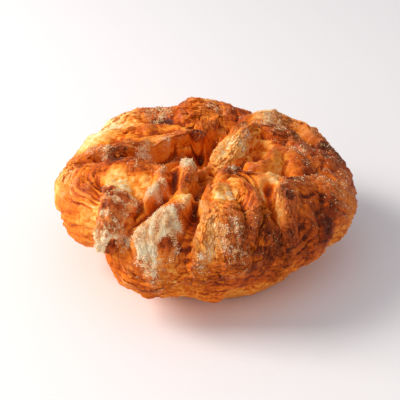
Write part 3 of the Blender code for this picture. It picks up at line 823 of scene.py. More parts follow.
# The layers are open so far everywhere, and skin that is torn less than SMOOTH_TORN is smooth.
TORN_EVERYWHERE = 0.3
SMOOTH_TORN = 0.25
CRUMPLED = 0.35  # share of the coarse relief that whole skin has


def body_point(chart):
    """Form without the fine relief, outward directions, how the places lie, and the plain cup's points."""
    keep = fade_at_foot(distance_of(chart))
    plain, _ = on_cup(chart)
    lie = raise_folds(chart)
    wander = mixed(plain, *WANDER) + ledges(chart, plain)
    points, outward = on_cup(chart + lie.pull * keep[:, None])
    return points + outward * ((lie.rise + wander) * keep)[:, None], outward, lie, plain


def grid_chart(distances):
    """Chart points from the distance of each ring on each spoke: the middle first, then ring by ring."""
    around = distances.shape[1]
    azimuth = np.arange(around) * 2 * math.pi / around
    ring = np.column_stack([np.cos(azimuth), np.sin(azimuth)])
    return np.concatenate([[(0.0, 0.0)], (distances[..., None] * ring[None]).reshape(-1, 2)])


def even_rings(around, rings):
    """Distances that put the rings at nearly even steps over the folded dough, so that walls get enough."""
    distance = np.linspace(0, WAY[-1], rings + 1)[1:]
    trial = grid_chart(np.repeat(distance[:, None], COARSE_SPOKES, axis=1))
    form = body_point(trial)[0]
    top = np.broadcast_to(form[0], (1, COARSE_SPOKES, 3))
    grid = np.concatenate([top, form[1:].reshape(rings, COARSE_SPOKES, 3)])
    steps = np.linalg.norm(np.diff(grid, axis=0), axis=2)
    for _ in range(SMOOTH_PASSES):
        steps = (np.roll(steps, 1, axis=1) + 2 * steps + np.roll(steps, -1, axis=1)) / 4
    steps = EVENNESS * steps / steps.mean(axis=0) + (1 - EVENNESS)
    travelled = np.concatenate([np.zeros((1, COARSE_SPOKES)), np.cumsum(steps, axis=0)])
    travelled /= travelled[-1]
    spokes = np.arange(COARSE_SPOKES + 1) / COARSE_SPOKES
    closed = np.concatenate([travelled, travelled[:, :1]], axis=1)
    wanted = np.linspace(0, 1, rings + 1)[1:]
    found = np.empty((rings, around))
    for spoke in range(around):
        own = np.array([np.interp(spoke / around, spokes, row) for row in closed])
        found[:, spoke] = np.interp(wanted, own, np.concatenate([[0], distance]))
    return found


def grid_faces(around, rings):
    """Triangles round the middle, quads between rings, and one face that closes the bottom."""
    spoke = np.arange(around)
    following = (spoke + 1) % around
    faces = [(0, 1 + a, 1 + b) for a, b in zip(spoke.tolist(), following.tolist())]
    inner = 1 + np.arange(rings - 1)[:, None] * around
    outer = inner + around
    quads = np.stack([inner + spoke, outer + spoke, outer + following, inner + following], axis=-1)
    faces += quads.reshape(-1, 4).tolist()
    faces.append((1 + (rings - 1) * around + spoke[::-1]).tolist())
    return faces

def on_grid(points):
    """All points but the middle one, ring by ring and spoke by spoke."""
    return points[1:].reshape(RINGS, AROUND, -1)


def normals_of(points):
    """Outward directions from the differences between neighbours on the grid of rings and spokes."""
    grid = on_grid(points)
    across = np.roll(grid, -1, axis=1) - np.roll(grid, 1, axis=1)
    found = directions(np.cross(np.gradient(grid, axis=0), across))
    return np.concatenate([[(0.0, 0.0, 1.0)], found.reshape(-1, 3)])


chart = grid_chart(even_rings(AROUND, RINGS))
form, _, lie, plain = body_point(chart)
keep = fade_at_foot(distance_of(chart))
round_layers = swirled(chart)
thick = limited(heaped(chart, SUGAR))
rough = 1 - HOLLOW_CALM * limited(lie.sunk / HOLLOW_DEPTH)
torn = limited(TORN_EVERYWHERE + heaped(chart, TORN)) * rough
calm = rough * limited(torn / SMOOTH_TORN)
coarse = CRUMPLED * calm + (1 - CRUMPLED) * torn
coarse *= (1 - ROUND_CALM * round_layers) * (1 - SUGAR_CALM * thick)
layered = np.maximum(torn, ROUND_LAYERS * round_layers)
layer_steps, crease = fine_layers(lie, chart, plain)
bumps = layer_steps * layered * (1 - SUGAR_COVER * thick) + (peeling(plain) + crumple(form)) * coarse
bumps += blisters(plain) * calm * (1 - round_layers) + sugar_lumps(thick, plain)
skin = form + normals_of(form) * (bumps * keep)[:, None]
skin[1 + AROUND * (RINGS - 1) :, 2] = 0.0
skin[:, 2] = np.maximum(skin[:, 2], 0.0)
middle = (skin[:, :2].min(axis=0) + skin[:, :2].max(axis=0)) / 2
skin[:, :2] -= middle
print("crust box in mm:", skin.min(axis=0).round(1), skin.max(axis=0).round(1))

# %% [markdown]
# ## Browning and sugar on each point
#
# The painted spots give each place its level. Heat and butter then do the rest: a ridge that stands out of
# its surroundings browns sooner, and the small edges of layers that stand out come out a little paler. A
# crease is darker, partly for the caramel that gathers there and partly as painted shade, and the creases
# between layers and the deep places are darker as painted shade. Sunk hollows take a level of their own,
# which is partly painted shade. How far a point stands out is its distance from the same surface blurred:
# a little blur finds the edges of layers, and a long one finds the ridges of petals.

# %% Browning and sugar
EDGE_PASSES = 8
RIDGE_PASSES = 70
BASE_SHIFT = -0.085
# The level of sunk hollows is partly painted shade. Creases are darker for caramel and as painted shade, and
# the creases between layers and deep places are darker as painted shade.
HOLLOW_LEVEL_AND_SHADE = 0.63
SHELTER_DEPTH = 3
LAYER_CREASE_SHADE = 0.20
CREASE_CARAMEL_AND_SHADE = 1.1
RIDGE_BROWNING = 0.20
DEPTH_SHADE = 0.19
# Sizes, seeds and heights of the noise in the browning, the ragged edges of the sugar, and the glaze and
# its painted sheen.
SLOW_PATCHES = ((7.0, 51, 0.07),)
FINE_PATCHES = ((2.6, 52, 0.13), (1.3, 53, 0.12))
SUGAR_RAGGED = ((2.2, 61, 0.35), (1.0, 62, 0.30))
GLAZE_AND_SHEEN_RAGGED = ((2.6, 65, 0.5), (1.1, 66, 0.3))
RIDGE_SUGAR_AND_SHEEN = 0.16
# The glaze on browned ridges that face up is half-melted sugar and a painted sheen, the sky's reflection; both
# come with browning up to the last level here.
GLAZE_SHEEN_OFFSET = -0.03
RIDGE_GLAZE_AND_SHEEN = 0.55
GLAZE_AND_SHEEN_LEVEL = 0.55  # glaze comes with browning up to this level


def blurred(grid, passes):
    """The grid after so many rounds of averaging each point with its neighbours."""
    for _ in range(passes):
        grid = (np.roll(grid, 1, axis=1) + 2 * grid + np.roll(grid, -1, axis=1)) / 4
        ends = np.concatenate([grid[:1], grid, grid[-1:]])
        grid = (ends[:-2] + 2 * grid + ends[2:]) / 4
    return grid


def exposure(passes):
    """Millimetres by which each point stands out of its blurred surroundings, less than 0 in a crease."""
    grid = on_grid(skin)
    out = ((grid - blurred(grid, passes)).reshape(-1, 3) * outside[1:]).sum(axis=1)
    return np.concatenate([[0.0], out])


def browning():
    """0 pale to 1 burnt: the painted level, with sunk places at a level that is partly painted shade, more on
    ridges, more in creases for caramel and as painted shade, more in the creases between layers and in deep
    places as painted shade, and a little noise.
    """
    sheltered = limited(lie.sunk / SHELTER_DEPTH)
    # Sunk places take their own level, which is partly painted shade.
    level = painted(chart, BROWNING) * (1 - sheltered) + HOLLOW_LEVEL_AND_SHADE * sheltered
    patches = mixed(plain, *SLOW_PATCHES) + mixed(plain, *FINE_PATCHES) * level
    # Creases between layers are darker as painted shade, and other creases for caramel and as painted shade.
    creases = LAYER_CREASE_SHADE * crease * layered + CREASE_CARAMEL_AND_SHADE * np.clip(-edge, -0.05, 0.15)
    # Ridges brown more, and deep places are darker as painted shade.
    heights = RIDGE_BROWNING * np.clip(ridge, 0, 0.8) + DEPTH_SHADE * np.clip(-ridge, 0, 1.2)
    return BASE_SHIFT + level + patches + creases + heights


def sugaring():
    """0 bare to 1 thickly sugared: patches with a ragged edge, and on every ridge that faces up a little sugar
    and a painted sheen of the sky's reflection.
    """
    ragged = mixed(plain, *SUGAR_RAGGED)
    # On ridges that face up: a little sugar, and a painted sheen of the sky's reflection.
    haze = RIDGE_SUGAR_AND_SHEEN * limited(ridge / 0.8) * limited(outside[:, 2] * 1.6)
    return limited(heaped(chart, SUGAR) * (0.95 + 1.5 * ragged) + haze + ragged * 0.2 - 0.05)


def glazing_and_sheen():
    """0 bare dough to 1 under a matt skin of half-melted sugar round the patches, and on browned ridges that
    face up, half-melted sugar and a painted sheen of the sky's reflection.
    """
    browned = limited(baked / GLAZE_AND_SHEEN_LEVEL) ** 2 * limited(outside[:, 2] * 1.5)
    glaze_sheen = GLAZE_SHEEN_OFFSET + RIDGE_GLAZE_AND_SHEEN * ridge + mixed(plain, *GLAZE_AND_SHEEN_RAGGED)
    return limited(glaze_sheen * browned + 0.5 * sugared) * keep


outside = normals_of(skin)
edge, ridge = exposure(EDGE_PASSES), exposure(RIDGE_PASSES)
for word, heights in (("edges", edge), ("ridges", ridge)):
    print(word, "stand out by", np.percentile(heights, (5, 50, 95)).round(2))
baked = browning()
sugared = sugaring()
glaze_and_sheen = glazing_and_sheen()
print(f"browning {baked.min():.2f} to {baked.max():.2f}, sugar on {np.mean(sugared > 0.5):.1%} of the points")


# %% Make the mesh
def attribute(mesh, name, kind, values):
    """Stores one value per point under this name."""
    layer = mesh.attributes.new(name, kind, "POINT")
    field = "value" if kind == "FLOAT" else "vector"
    layer.data.foreach_set(field, np.ascontiguousarray(values, dtype=np.float32).ravel())


def piece(name, points, faces, material, smooth=True):
    """A mesh piece from points in millimetres, which rides on the body and takes its finish from a slot."""
    mesh = bpy.data.meshes.new(name)
    mesh.from_pydata((points * MM).tolist(), [], faces)
    mesh.polygons.foreach_set("use_smooth", np.full(len(mesh.polygons), smooth))
    mesh.materials.append(material)
    mesh.update()
    obj = bpy.data.objects.new(name, mesh)
    bpy.context.scene.collection.objects.link(obj)
    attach(obj, "root")
    return obj


# %% [markdown]
# ## Materials
#
# The crust is laminated dough under a thin glaze of caramel. The glaze is clear and glossy and sits over a
# duller crumb, which is what the coat of the Principled shader is for. The dough's colour is a ramp from
# pale butter to burnt sugar, read with the browning on the points plus fine streaks along the layers; the
# browning holds painted shade in creases, deep places and hollows. A second ramp, paler and less orange,
# takes over where half-melted sugar lies on the dough, and also where a painted sheen stands for the sky's
# reflection on browned ridges that face up, and a third one is the sugar that didn't melt.

# %% Colours and nodes
def linear(hex_colour):
    """An sRGB hex colour as linear red, green, blue and alpha."""
    parts = [int(hex_colour[i : i + 2], 16) / 255 for i in (1, 3, 5)]
    return [c / 12.92 if c <= 0.04045 else ((c + 0.055) / 1.055) ** 2.4 for c in parts] + [1.0]


def add(material, kind, links=(), **settings):
    """Adds a node. Settings are its properties, or input values under names such as in_2 for input 2."""
    tree = material.node_tree
    node = tree.nodes.new(kind)
    if kind == "ShaderNodeMix":
        node.data_type = "RGBA"
    for name, value in settings.items():
        if name.startswith("in_"):
            node.inputs[int(name[3:])].default_value = value
        else:
            setattr(node, name, value)
    for number, source in links:
        tree.links.new(source, node.inputs[number])
    return node


def ramp(material, source, stops):
    """A colour ramp from a list of (position, hex colour)."""
    node = add(material, "ShaderNodeValToRGB", [(0, source)])
    elements = node.color_ramp.elements
    while len(elements) < len(stops):
        elements.new(0.5)
    for element, (position, colour) in zip(elements, stops):
        element.position = position
        element.color = linear(colour)
    return node


def fresh(name):
    """A new material with its Principled shader."""
    material = bpy.data.materials.new(name)
    material.use_nodes = True
    return material, material.node_tree.nodes["Principled BSDF"]

def stored(material, name, output="Fac"):
    """What the mesh stores on its points under this name."""
    return add(material, "ShaderNodeAttribute", attribute_name=name).outputs[output]


def calculated(material, operation, *values):
    """Result of a calculation with values, each a number or another node's output."""
    numbers = {f"in_{place}": value for place, value in enumerate(values) if isinstance(value, float)}
    sources = [(place, value) for place, value in enumerate(values) if not isinstance(value, float)]
    return add(material, "ShaderNodeMath", sources, operation=operation, **numbers).outputs[0]


def mapped(material, value, start, end, low=0.0, high=1.0):
    """The value, from low at the start of its range to high at the end, and held there beyond both."""
    ends = {"in_1": start, "in_2": end, "in_3": low, "in_4": high}
    return add(material, "ShaderNodeMapRange", [(0, value)], **ends).outputs[0]


def speckle(material, place, scale, detail, roughness):
    """Noise over the place, in so many cells to its unit."""
    sizes = {"in_2": scale, "in_3": detail, "in_4": roughness}
    return add(material, "ShaderNodeTexNoise", [(0, place)], **sizes).outputs[0]


def blended(material, share, first, second):
    """The first colour where the share is 0 and the second where it is 1."""
    return add(material, "ShaderNodeMix", [(0, share), (6, first), (7, second)]).outputs[2]


DOUGH = (
    (0.00, "#FFE2B2"), (0.20, "#FDC470"), (0.38, "#F69A34"), (0.55, "#E47212"), (0.70, "#C0500A"),
    (0.84, "#933606"), (1.00, "#541B06"),
)
# The same levels under half-melted sugar and under a painted sheen, the sky's reflection on ridges that
# face up: paler, browner and less orange.
GLAZED_AND_SHEEN_DOUGH = (
    (0.00, "#FBDDA8"), (0.20, "#F8C080"), (0.38, "#EF9C52"), (0.55, "#D67336"), (0.70, "#B25123"),
    (0.84, "#873616"), (1.00, "#4E1C0C"),
)
# Sugar from where it is thin to where it lies thick, and the sum of crumbs and thickness at which it covers
# the dough.
SUGAR_TONES = ((0.0, "#CE7E3E"), (0.15, "#F0B26C"), (0.34, "#FFDCAA"), (0.55, "#FFF0D0"))
SUGAR_SHOWS = 1.75
SUGAR_COVERS = 2.25
SUGAR_THICKEST = 2.95
STREAK_SCALE = (1.9, 0.16, 3.7)  # across the layers, along them, and from fold to fold


def caramelised_dough():
    """Laminated bread dough glazed with melted sugar: streaked along its layers, and slightly translucent."""
    material, shader = fresh("caramelised laminated dough")
    place = add(material, "ShaderNodeTexCoord").outputs["Object"]
    # Layers are 0.4 to 0.8 mm thick, and run for 5 to 10 mm along a fold. They show most where the dough
    # tore open.
    layers = [(0, stored(material, "layers", "Vector"))]
    stretched = add(material, "ShaderNodeVectorMath", layers, operation="MULTIPLY")
    stretched.inputs[1].default_value = STREAK_SCALE
    streaks = speckle(material, stretched.outputs[0], 1.0, 3.0, 0.6)
    open_layers = calculated(material, "ADD", stored(material, "torn"), 0.1)
    # Freckles of butter and sugar, about 1 mm across, and crumbs a third of that.
    freckles = speckle(material, place, 900.0, 4.0, 0.65)
    crumbs = speckle(material, place, 2600.0, 2.0, 0.6)
    level = stored(material, "baked")
    for pattern, strength in ((streaks, open_layers), (freckles, 0.45), (crumbs, 0.25)):
        centred = calculated(material, "SUBTRACT", pattern, 0.5)
        level = calculated(material, "MULTIPLY_ADD", centred, strength, level)
    # The second ramp is half-melted sugar and a painted sheen, the sky's reflection on ridges that face up.
    bare, glaze_sheen = (ramp(material, level, stops).outputs[0] for stops in (DOUGH, GLAZED_AND_SHEEN_DOUGH))
    dough = blended(material, stored(material, "glaze_and_sheen"), bare, glaze_sheen)
    # Sugar that didn't melt, in crumbs, from light caramel where it is thin to cream where it lies thick.
    spread = calculated(material, "ADD", crumbs, freckles)
    thick = calculated(material, "MULTIPLY_ADD", spread, 1.5, stored(material, "sugared"))
    shown = mapped(material, thick, SUGAR_SHOWS, SUGAR_COVERS, high=0.92)
    tone = mapped(material, thick, SUGAR_SHOWS, SUGAR_THICKEST)
    colour = blended(material, shown, dough, ramp(material, tone, SUGAR_TONES).outputs[0])
    # The finest relief, a quarter of a millimetre high: streaks of thin layers, and crumbs.
    relief = calculated(material, "ADD", streaks, crumbs)
    bump = add(material, "ShaderNodeBump", [(3, relief)], in_0=0.5, in_1=0.25 * MM)
    sockets = {
        "Base Color": colour,
        "Roughness": mapped(material, freckles, 0.35, 0.65, 0.42, 0.75),
        "Normal": bump.outputs[0],
    }
    for name, source in sockets.items():
        material.node_tree.links.new(source, shader.inputs[name])
    shader.inputs["Specular IOR Level"].default_value = 0.08
    shader.inputs["Coat Weight"].default_value = 0.08
    shader.inputs["Coat Roughness"].default_value = 0.18
    shader.inputs["Subsurface Weight"].default_value = 0.12
    shader.inputs["Subsurface Radius"].default_value = (1.0, 0.45, 0.15)
    shader.inputs["Subsurface Scale"].default_value = 2.2 * MM
    return material


# %% Put the crust in the scene
def bake(obj, baked, sugared, glaze_and_sheen, torn, layers):
    """Stores what the dough's material reads on each point of a piece."""
    for name, values in (("baked", baked), ("sugared", sugared), ("glaze_and_sheen", glaze_and_sheen), ("torn", torn)):
        attribute(obj.data, name, "FLOAT", values)
    attribute(obj.data, "layers", "FLOAT_VECTOR", layers)


dough = caramelised_dough()
crust = piece("crust", skin, grid_faces(AROUND, RINGS), dough)
layers = np.column_stack([layer_coordinate(lie, chart), lie.along, lie.own])
bake(crust, baked, sugared, glaze_and_sheen, layered, layers)
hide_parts("pastry")
print("crust:", len(crust.data.polygons), "faces")

# %% [markdown]
# ## Flakes of crust
#
# Where the layers tore open, thin plates of crust stand off the dough. Each is a strip of four columns and
# two rows with a top and an underside. Its root lies under the skin, it runs along the layer that it
# belongs to, and its free edge lifts. The direction along a layer is the one in which the layer coordinate
# doesn't change, found from the slopes of the skin and of the coordinate on the grid.

# %% Scatter the flakes
FLAKES = 4500
FLAKE_LENGTH = (0.9, 2.4)
FLAKE_WIDTH = (0.45, 1.0)
FLAKE_THICKNESS = 0.10
FLAKE_LIFT = (0.02, 0.32)
FLAKE_ROOT = 0.15
FLAKE_RAGGED = (0.6, 1.1)
FLAKE_POINTED = 1.6  # how much shorter a flake is at its ends
FLAKE_BEND = 6.0  # radius along the layer
FLAKE_CORNERS = 16
LOWEST_FLAKE = 0.2
LAYER_PASSES = 6
OPEN_LAYERS = 0.4


def slopes(values):
    """Change from point to point round the spokes and along them, for each point but the middle one."""
    grid = blurred(on_grid(values), LAYER_PASSES)
    return (np.roll(grid, -1, axis=1) - np.roll(grid, 1, axis=1)) / 2, np.gradient(grid, axis=0)


def layer_frames(points, coordinate):
    """Unit directions at each point along its layer, across it away from the crest, and outwards."""
    across, down = slopes(points)
    change_across, change_down = slopes(coordinate)
    along = directions(across * change_down - down * change_across)
    out = directions(np.cross(down, across))
    frames = (along, np.cross(along, out), out)
    return [np.concatenate([[(0.0, 0.0, 0.0)], side.reshape(-1, 3)]) for side in frames]


def plates(spots, frames, draw):
    """Thin curved plates: all corners and faces, and each corner's share of the way to the free edge."""
    count = len(spots)
    along, away, out = (frame[:, None] for frame in frames)
    sizes = (FLAKE_LENGTH, FLAKE_WIDTH, FLAKE_LIFT)
    length, width, lift = (draw.uniform(*size, (count, 1, 1)) for size in sizes)
    s = np.tile(np.array([-0.5, -0.2, 0.2, 0.5]), 4)[None, :, None]
    w = np.tile(np.repeat([0.0, 1.0], 4), 2)[None, :, None]
    below = np.repeat([0.0, 1.0], 8)[None, :, None]
    ragged = draw.uniform(*FLAKE_RAGGED, (count, 4, 1))[:, np.tile(np.arange(4), 4)]
    reach = w * width * ragged * (1 - FLAKE_POINTED * s**2)
    sag = 0.5 * (s * length) ** 2 / FLAKE_BEND
    height = (lift + FLAKE_ROOT) * w - FLAKE_ROOT - sag - below * FLAKE_THICKNESS
    corners = spots[:, None] + along * s * length + away * reach + out * height
    top = [(i, i + 1, i + 5, i + 4) for i in range(3)]
    under = [(i + 8, i + 12, i + 13, i + 9) for i in range(3)]
    rims = [(i, i + 8, i + 9, i + 1) for i in range(3)] + [(i + 4, i + 5, i + 13, i + 12) for i in range(3)]
    ends = [(0, 4, 12, 8), (3, 11, 15, 7)]
    faces = np.array(top + under + rims + ends)[None] + FLAKE_CORNERS * np.arange(count)[:, None, None]
    return corners.reshape(-1, 3), faces.reshape(-1, 4), np.tile(w[0, :, 0], count)


draw = np.random.default_rng(17)
spacing = np.linalg.norm(np.roll(on_grid(skin), -1, axis=1) - on_grid(skin), axis=2)
spacing = np.concatenate([[0], spacing.ravel()])
open_edges = limited(torn - OPEN_LAYERS) * (0.15 + 3 * np.clip(edge, 0, 0.3))
chance = spacing * open_edges * keep * (1 - round_layers)
chosen = draw.choice(len(skin), FLAKES, p=chance / chance.sum())
frames = [frame[chosen] for frame in layer_frames(skin, layers[:, :1])]
flake_points, flake_faces, free = plates(skin[chosen], frames, draw)
flake_points[:, 2] = np.maximum(flake_points[:, 2], LOWEST_FLAKE)
crust_flakes = piece("crust_flakes", flake_points, flake_faces.tolist(), dough, smooth=False)
luck = draw.normal(0, 0.07, FLAKES)
# Each flake takes what its root has: browner at the free edge, less sugared, and with fainter streaks.
at_roots = (baked[chosen] + luck, sugared[chosen] * 0.6, glaze_and_sheen[chosen], torn[chosen] * 0.3, layers[chosen])
on_flakes = [np.repeat(values, FLAKE_CORNERS, axis=0) for values in at_roots]
on_flakes[0] = on_flakes[0] + 0.05 * free
bake(crust_flakes, *on_flakes)
print(FLAKES, "flakes of crust")

# %% [markdown]
# ## Edges of sheets
#
# In a few places the edge of a whole sheet of dough shows as a thin lip that hangs over the hollow beside
# it. Each is a strip swept along a line on the chart. Its profile starts under the skin, climbs to the
# line, runs on past it in the skin's own direction there, and comes back below, thinner by EDGE_THICKNESS.
# Noise makes the free edge ragged.

# %% Sweep the edges
# Line on the chart, side on which the edge is free (1 left, -1 right of the line), reach and height in
# millimetres.
EDGES = {
    "back left lip": (
        ((92, 12.4), (104, 11.4), (119, 11.4), (146, 13.4), (159, 16.3), (167, 20), (170, 25.5), (170, 31),
        (171, 36)), 1, 1.0, 0.5,
    ),
    "wall's foot": (((156, 12.6), (136, 9.4), (112, 9.4), (94, 9.0)), 1, 0.7, 0.6),
    "shelf": (((215, 16), (205, 18), (196, 22), (190, 27), (187, 31), (184, 35)), -1, 0.8, 0.3),
    "right lip": (((303, 13), (309, 18), (317, 21), (323, 25), (328, 29), (334, 32)), -1, 1.0, 0.3),
    "right ridge": (((325, 28), (315, 32), (309, 36), (307, 40)), -1, 1.1, 0.4),
    "pocket": (((299, 18), (301, 23), (299, 29), (294, 34)), -1, 0.8, 0.3),
    "back right": (((56, 26.5), (49, 28.4), (43, 31), (36, 34), (27, 36)), -1, 1.2, 0.9),
    "front left rim": (((232, 46), (240, 47), (250, 47.6), (262, 46.6)), 1, 0.7, 0.4),
    "front left rim above": (((236, 43.5), (243, 44.6), (252, 45.4), (260, 45)), 1, 0.7, 0.4),
    "front rim": (((255, 45.6), (265, 46.2), (275, 44.8), (284, 43.4), (296, 42.6)), 1, 0.8, 0.5),
    "front rim above": (((268, 43.6), (276, 42.6), (286, 41.4), (297, 41)), 1, 0.7, 0.4),
}
# Way across the profile as a share of the reach, height above the skin as a share of the height, and the
# thickness taken off.
PROFILE = (
    (-1.6, -0.8, 0.0), (-0.8, 0.5, 0.0), (0.0, 1.0, 0.0), (0.6, 1.0, 0.0), (1.0, 0.7, 0.0),
    (1.0, 0.7, 1.0), (0.5, 0.9, 1.0), (0.0, 0.6, 1.0), (-0.8, -0.4, 1.0), (-1.6, -1.4, 1.0),
)
EDGE_THICKNESS = 0.35
EDGE_STEP = 0.35
BURIED = 0.5
EDGE_TAPER = 3.0
TAPER_POWER = 0.7
EDGE_WAVES = ((3.0, 95, 0.7), (1.1, 96, 0.7))
SLOPE_WAY = 0.8  # the skin's direction at the line is taken over this way
LEVELLED = 0.6  # share of its climb that is taken off


def strip(line, side, reach, height, seed):
    """Corners and chart places of the strip's stations, one profile after the other."""
    bends = crest_line(line)
    way = np.concatenate([[0], np.cumsum(np.hypot(*np.diff(bends, axis=0).T))])
    steps = np.linspace(0, way[-1], int(way[-1] / EDGE_STEP))
    centre = np.column_stack([np.interp(steps, way, bends[:, i]) for i in range(2)])
    heading = directions(np.gradient(centre, axis=0))
    sideways = side * np.column_stack([-heading[:, 1], heading[:, 0]])
    along = np.column_stack([steps, np.full(len(steps), 7.3 * seed), np.zeros(len(steps))])
    wave = 0.75 + mixed(along, *EDGE_WAVES)
    taper = limited(np.minimum(steps, way[-1] - steps) / EDGE_TAPER) ** TAPER_POWER
    base, outward = body_point(centre)[:2]
    forward = base - body_point(centre - SLOPE_WAY * sideways)[0]
    forward = directions(forward - LEVELLED * (forward * outward).sum(axis=1)[:, None] * outward)
    rows, spots = [], []
    for across, up, below in PROFILE:
        offset = across * reach * (wave if across > 0 else np.ones(len(steps)))
        spot = centre + sideways * offset[:, None]
        foot = base + forward * offset[:, None] if across > 0 else body_point(spot)[0]
        lift = (up * height + BURIED) * taper - BURIED - below * EDGE_THICKNESS
        rows.append(foot + outward * lift[:, None])
        spots.append(spot)
    return np.stack(rows, axis=1), np.stack(spots, axis=1)


def tube_faces(stations, around):
    """Quads round a swept profile, and a face at each end."""
    ring = np.arange(around)
    start = np.arange(stations - 1)[:, None] * around
    following = (ring + 1) % around
    corners = (start + ring, start + following, start + around + following, start + around + ring)
    quads = np.stack(corners, axis=-1)
    ends = [ring[::-1].tolist(), ((stations - 1) * around + ring).tolist()]
    return quads.reshape(-1, 4).tolist() + ends


edge_points, edge_faces, edge_spots = [], [], []
count = 0
for number, (line, side, reach, height) in enumerate(EDGES.values()):
    corners, spots = strip(line, side, reach, height, number)
    stations, around = corners.shape[:2]
    edge_faces += [[corner + count for corner in face[::side]] for face in tube_faces(stations, around)]
    edge_points.append(corners.reshape(-1, 3))
    edge_spots.append(spots.reshape(-1, 2))
    count += stations * around
edge_points, edge_spots = np.concatenate(edge_points), np.concatenate(edge_spots)
edge_points[:, :2] -= middle
sheet_edges = piece("sheet_edges", edge_points, edge_faces, dough)
edge_lie = raise_folds(edge_spots)
bake(
    sheet_edges,
    painted(edge_spots, BROWNING) + 0.05 + noise(on_cup(edge_spots)[0] / 1.6, 97) * 0.2,
    limited(heaped(edge_spots, SUGAR) * 0.8 + 0.1),
    # Glaze and painted sheen, the same all along the edges.
    np.full(count, 0.6),
    np.full(count, 0.6),
    np.column_stack([layer_coordinate(edge_lie, edge_spots), edge_lie.along, edge_lie.own]),
)
print("edges of sheets:", len(edge_faces), "faces")

# %% [markdown]
# ## The standing corner
#
# At the front left a corner of the sheet stands up and folds over: a flap with a square, sugared tip and a
# cut end that is painted dark as shade. It is a smooth surface through a few rows of points, with a back at
# its own thickness.

# %% Stand the corner up
# Points on the flap's face in millimetres, from its top to its tip, each row from its left edge to its
# right edge.
FLAP = (
    ((-29.4, -20.4, 35.6), (-25.6, -22.2, 36.0), (-22.0, -23.4, 34.4), (-18.4, -24.4, 31.6)),
    ((-29.8, -28.6, 35.4), (-26.6, -28.4, 35.6), (-23.4, -28.2, 33.6), (-20.0, -28.0, 31.4)),
    ((-30.6, -34.4, 32.6), (-27.6, -34.6, 32.6), (-25.0, -34.0, 31.2), (-22.6, -32.8, 29.2)),
    ((-31.2, -37.2, 28.8), (-28.4, -37.8, 29.0), (-25.8, -37.8, 28.2), (-23.2, -37.2, 27.0)),
    ((-30.6, -38.2, 24.4), (-28.6, -38.8, 24.0), (-26.8, -38.9, 23.4), (-25.0, -38.6, 22.8)),
)
FLAP_THICKNESS = 2.2
FLAP_THINNING = 0.3
FLAP_STEPS = (90, 46)
RUMPLE = 0.55
RUMPLE_NOISE = ((2.2, 101, 1.0), (1.0, 102, 0.6), (5.0, 103, 1.5))
FRAY_NOISE = ((1.4, 105, 0.7), (0.6, 106, 0.4))
MOTTLE_NOISE = ((3.2, 107, 0.26), (1.3, 110, 0.16))
SPECK_NOISE = ((2.6, 111, 0.7), (1.2, 108, 0.5), (0.6, 109, 0.4))

down, across = FLAP_STEPS
face = curve(FLAP, down)
face = curve(face.transpose(1, 0, 2), across).transpose(1, 0, 2)
out = directions(np.cross(np.gradient(face, axis=0), np.gradient(face, axis=1)))
sideways = directions(np.gradient(face, axis=1))
rows, columns = np.mgrid[0:1:down * 1j, 0:1:across * 1j]


def on_flap(*parts):
    """Noise at each point of the flap's face."""
    return mixed(face.reshape(-1, 3), *parts).reshape(down, across)


# The cut end is the lower right part of the flap, and the sugared tip is what is left below it.
cut = limited((columns - 0.50 + 0.9 * (rows - 0.80)) / 0.06) * limited((rows - 0.72) / 0.05)
tip = limited((rows - 0.60) / 0.12) * (1 - cut)
rumple = on_flap(*RUMPLE_NOISE) + 0.35 * tip * (1 + on_flap((0.8, 104, 1.0)))
border = np.minimum(np.minimum(columns, 1 - columns) * 9, np.minimum(rows, 1 - rows) * 22)
rounding = -0.5 * (1 - limited(border / 0.8)) ** 2 - 2.4 * cut * np.clip(columns - 0.55, 0, 1) / 0.45
fray = np.where(columns < 0.02, -1, np.where(columns > 0.98, 1, 0)) * on_flap(*FRAY_NOISE)
front = face + out * (rumple * RUMPLE + rounding)[..., None] + sideways * fray[..., None]
behind = front - out * (FLAP_THICKNESS * (1 - FLAP_THINNING * rows))[..., None]

index = np.arange(down * across).reshape(down, across)
size = down * across
top_faces = np.stack([index[:-1, :-1], index[1:, :-1], index[1:, 1:], index[:-1, 1:]], axis=-1).reshape(-1, 4)
loop = np.concatenate([index[0, :-1], index[:-1, -1], index[-1, :0:-1], index[:0:-1, 0]])
after = np.roll(loop, -1)
side_faces = np.stack([loop, after, after + size, loop + size], axis=-1)
flap_points = np.concatenate([front.reshape(-1, 3), behind.reshape(-1, 3)])
flap_faces = np.concatenate([top_faces, top_faces[:, ::-1] + size, side_faces]).tolist()
flap = piece("standing_corner", flap_points, flap_faces, dough)

# The cut end is 0.36 darker: painted shade, for it faces away from the window.
brown = 0.74 - 0.34 * rows + on_flap(*MOTTLE_NOISE) + 0.36 * cut
dusting = np.clip(0.18 + on_flap(*SPECK_NOISE) + 0.46 * tip, 0, 0.90) * (1 - cut)
place_in_layers = np.column_stack([columns.ravel() * 9, rows.ravel() * 20, np.zeros(size)])
bake(
    flap,
    np.concatenate([brown.ravel(), np.full(size, 0.92)]),
    np.concatenate([dusting.ravel(), np.zeros(size)]),
    # Glaze and painted sheen, the same all over the flap.
    np.full(2 * size, 0.9),
    np.full(2 * size, 0.4),
    np.concatenate([place_in_layers] * 2),
)
print("standing corner:", len(flap_faces), "faces")

# %% [markdown]
# ## Sugar grains
#
# The coarse sugar on top kept its grains. Each is a crystal with eight sides, about a quarter of a
# millimetre across, stretched and turned its own way, and all of them are one mesh. Grains fall where the
# patches are thick, and heap up a little there.

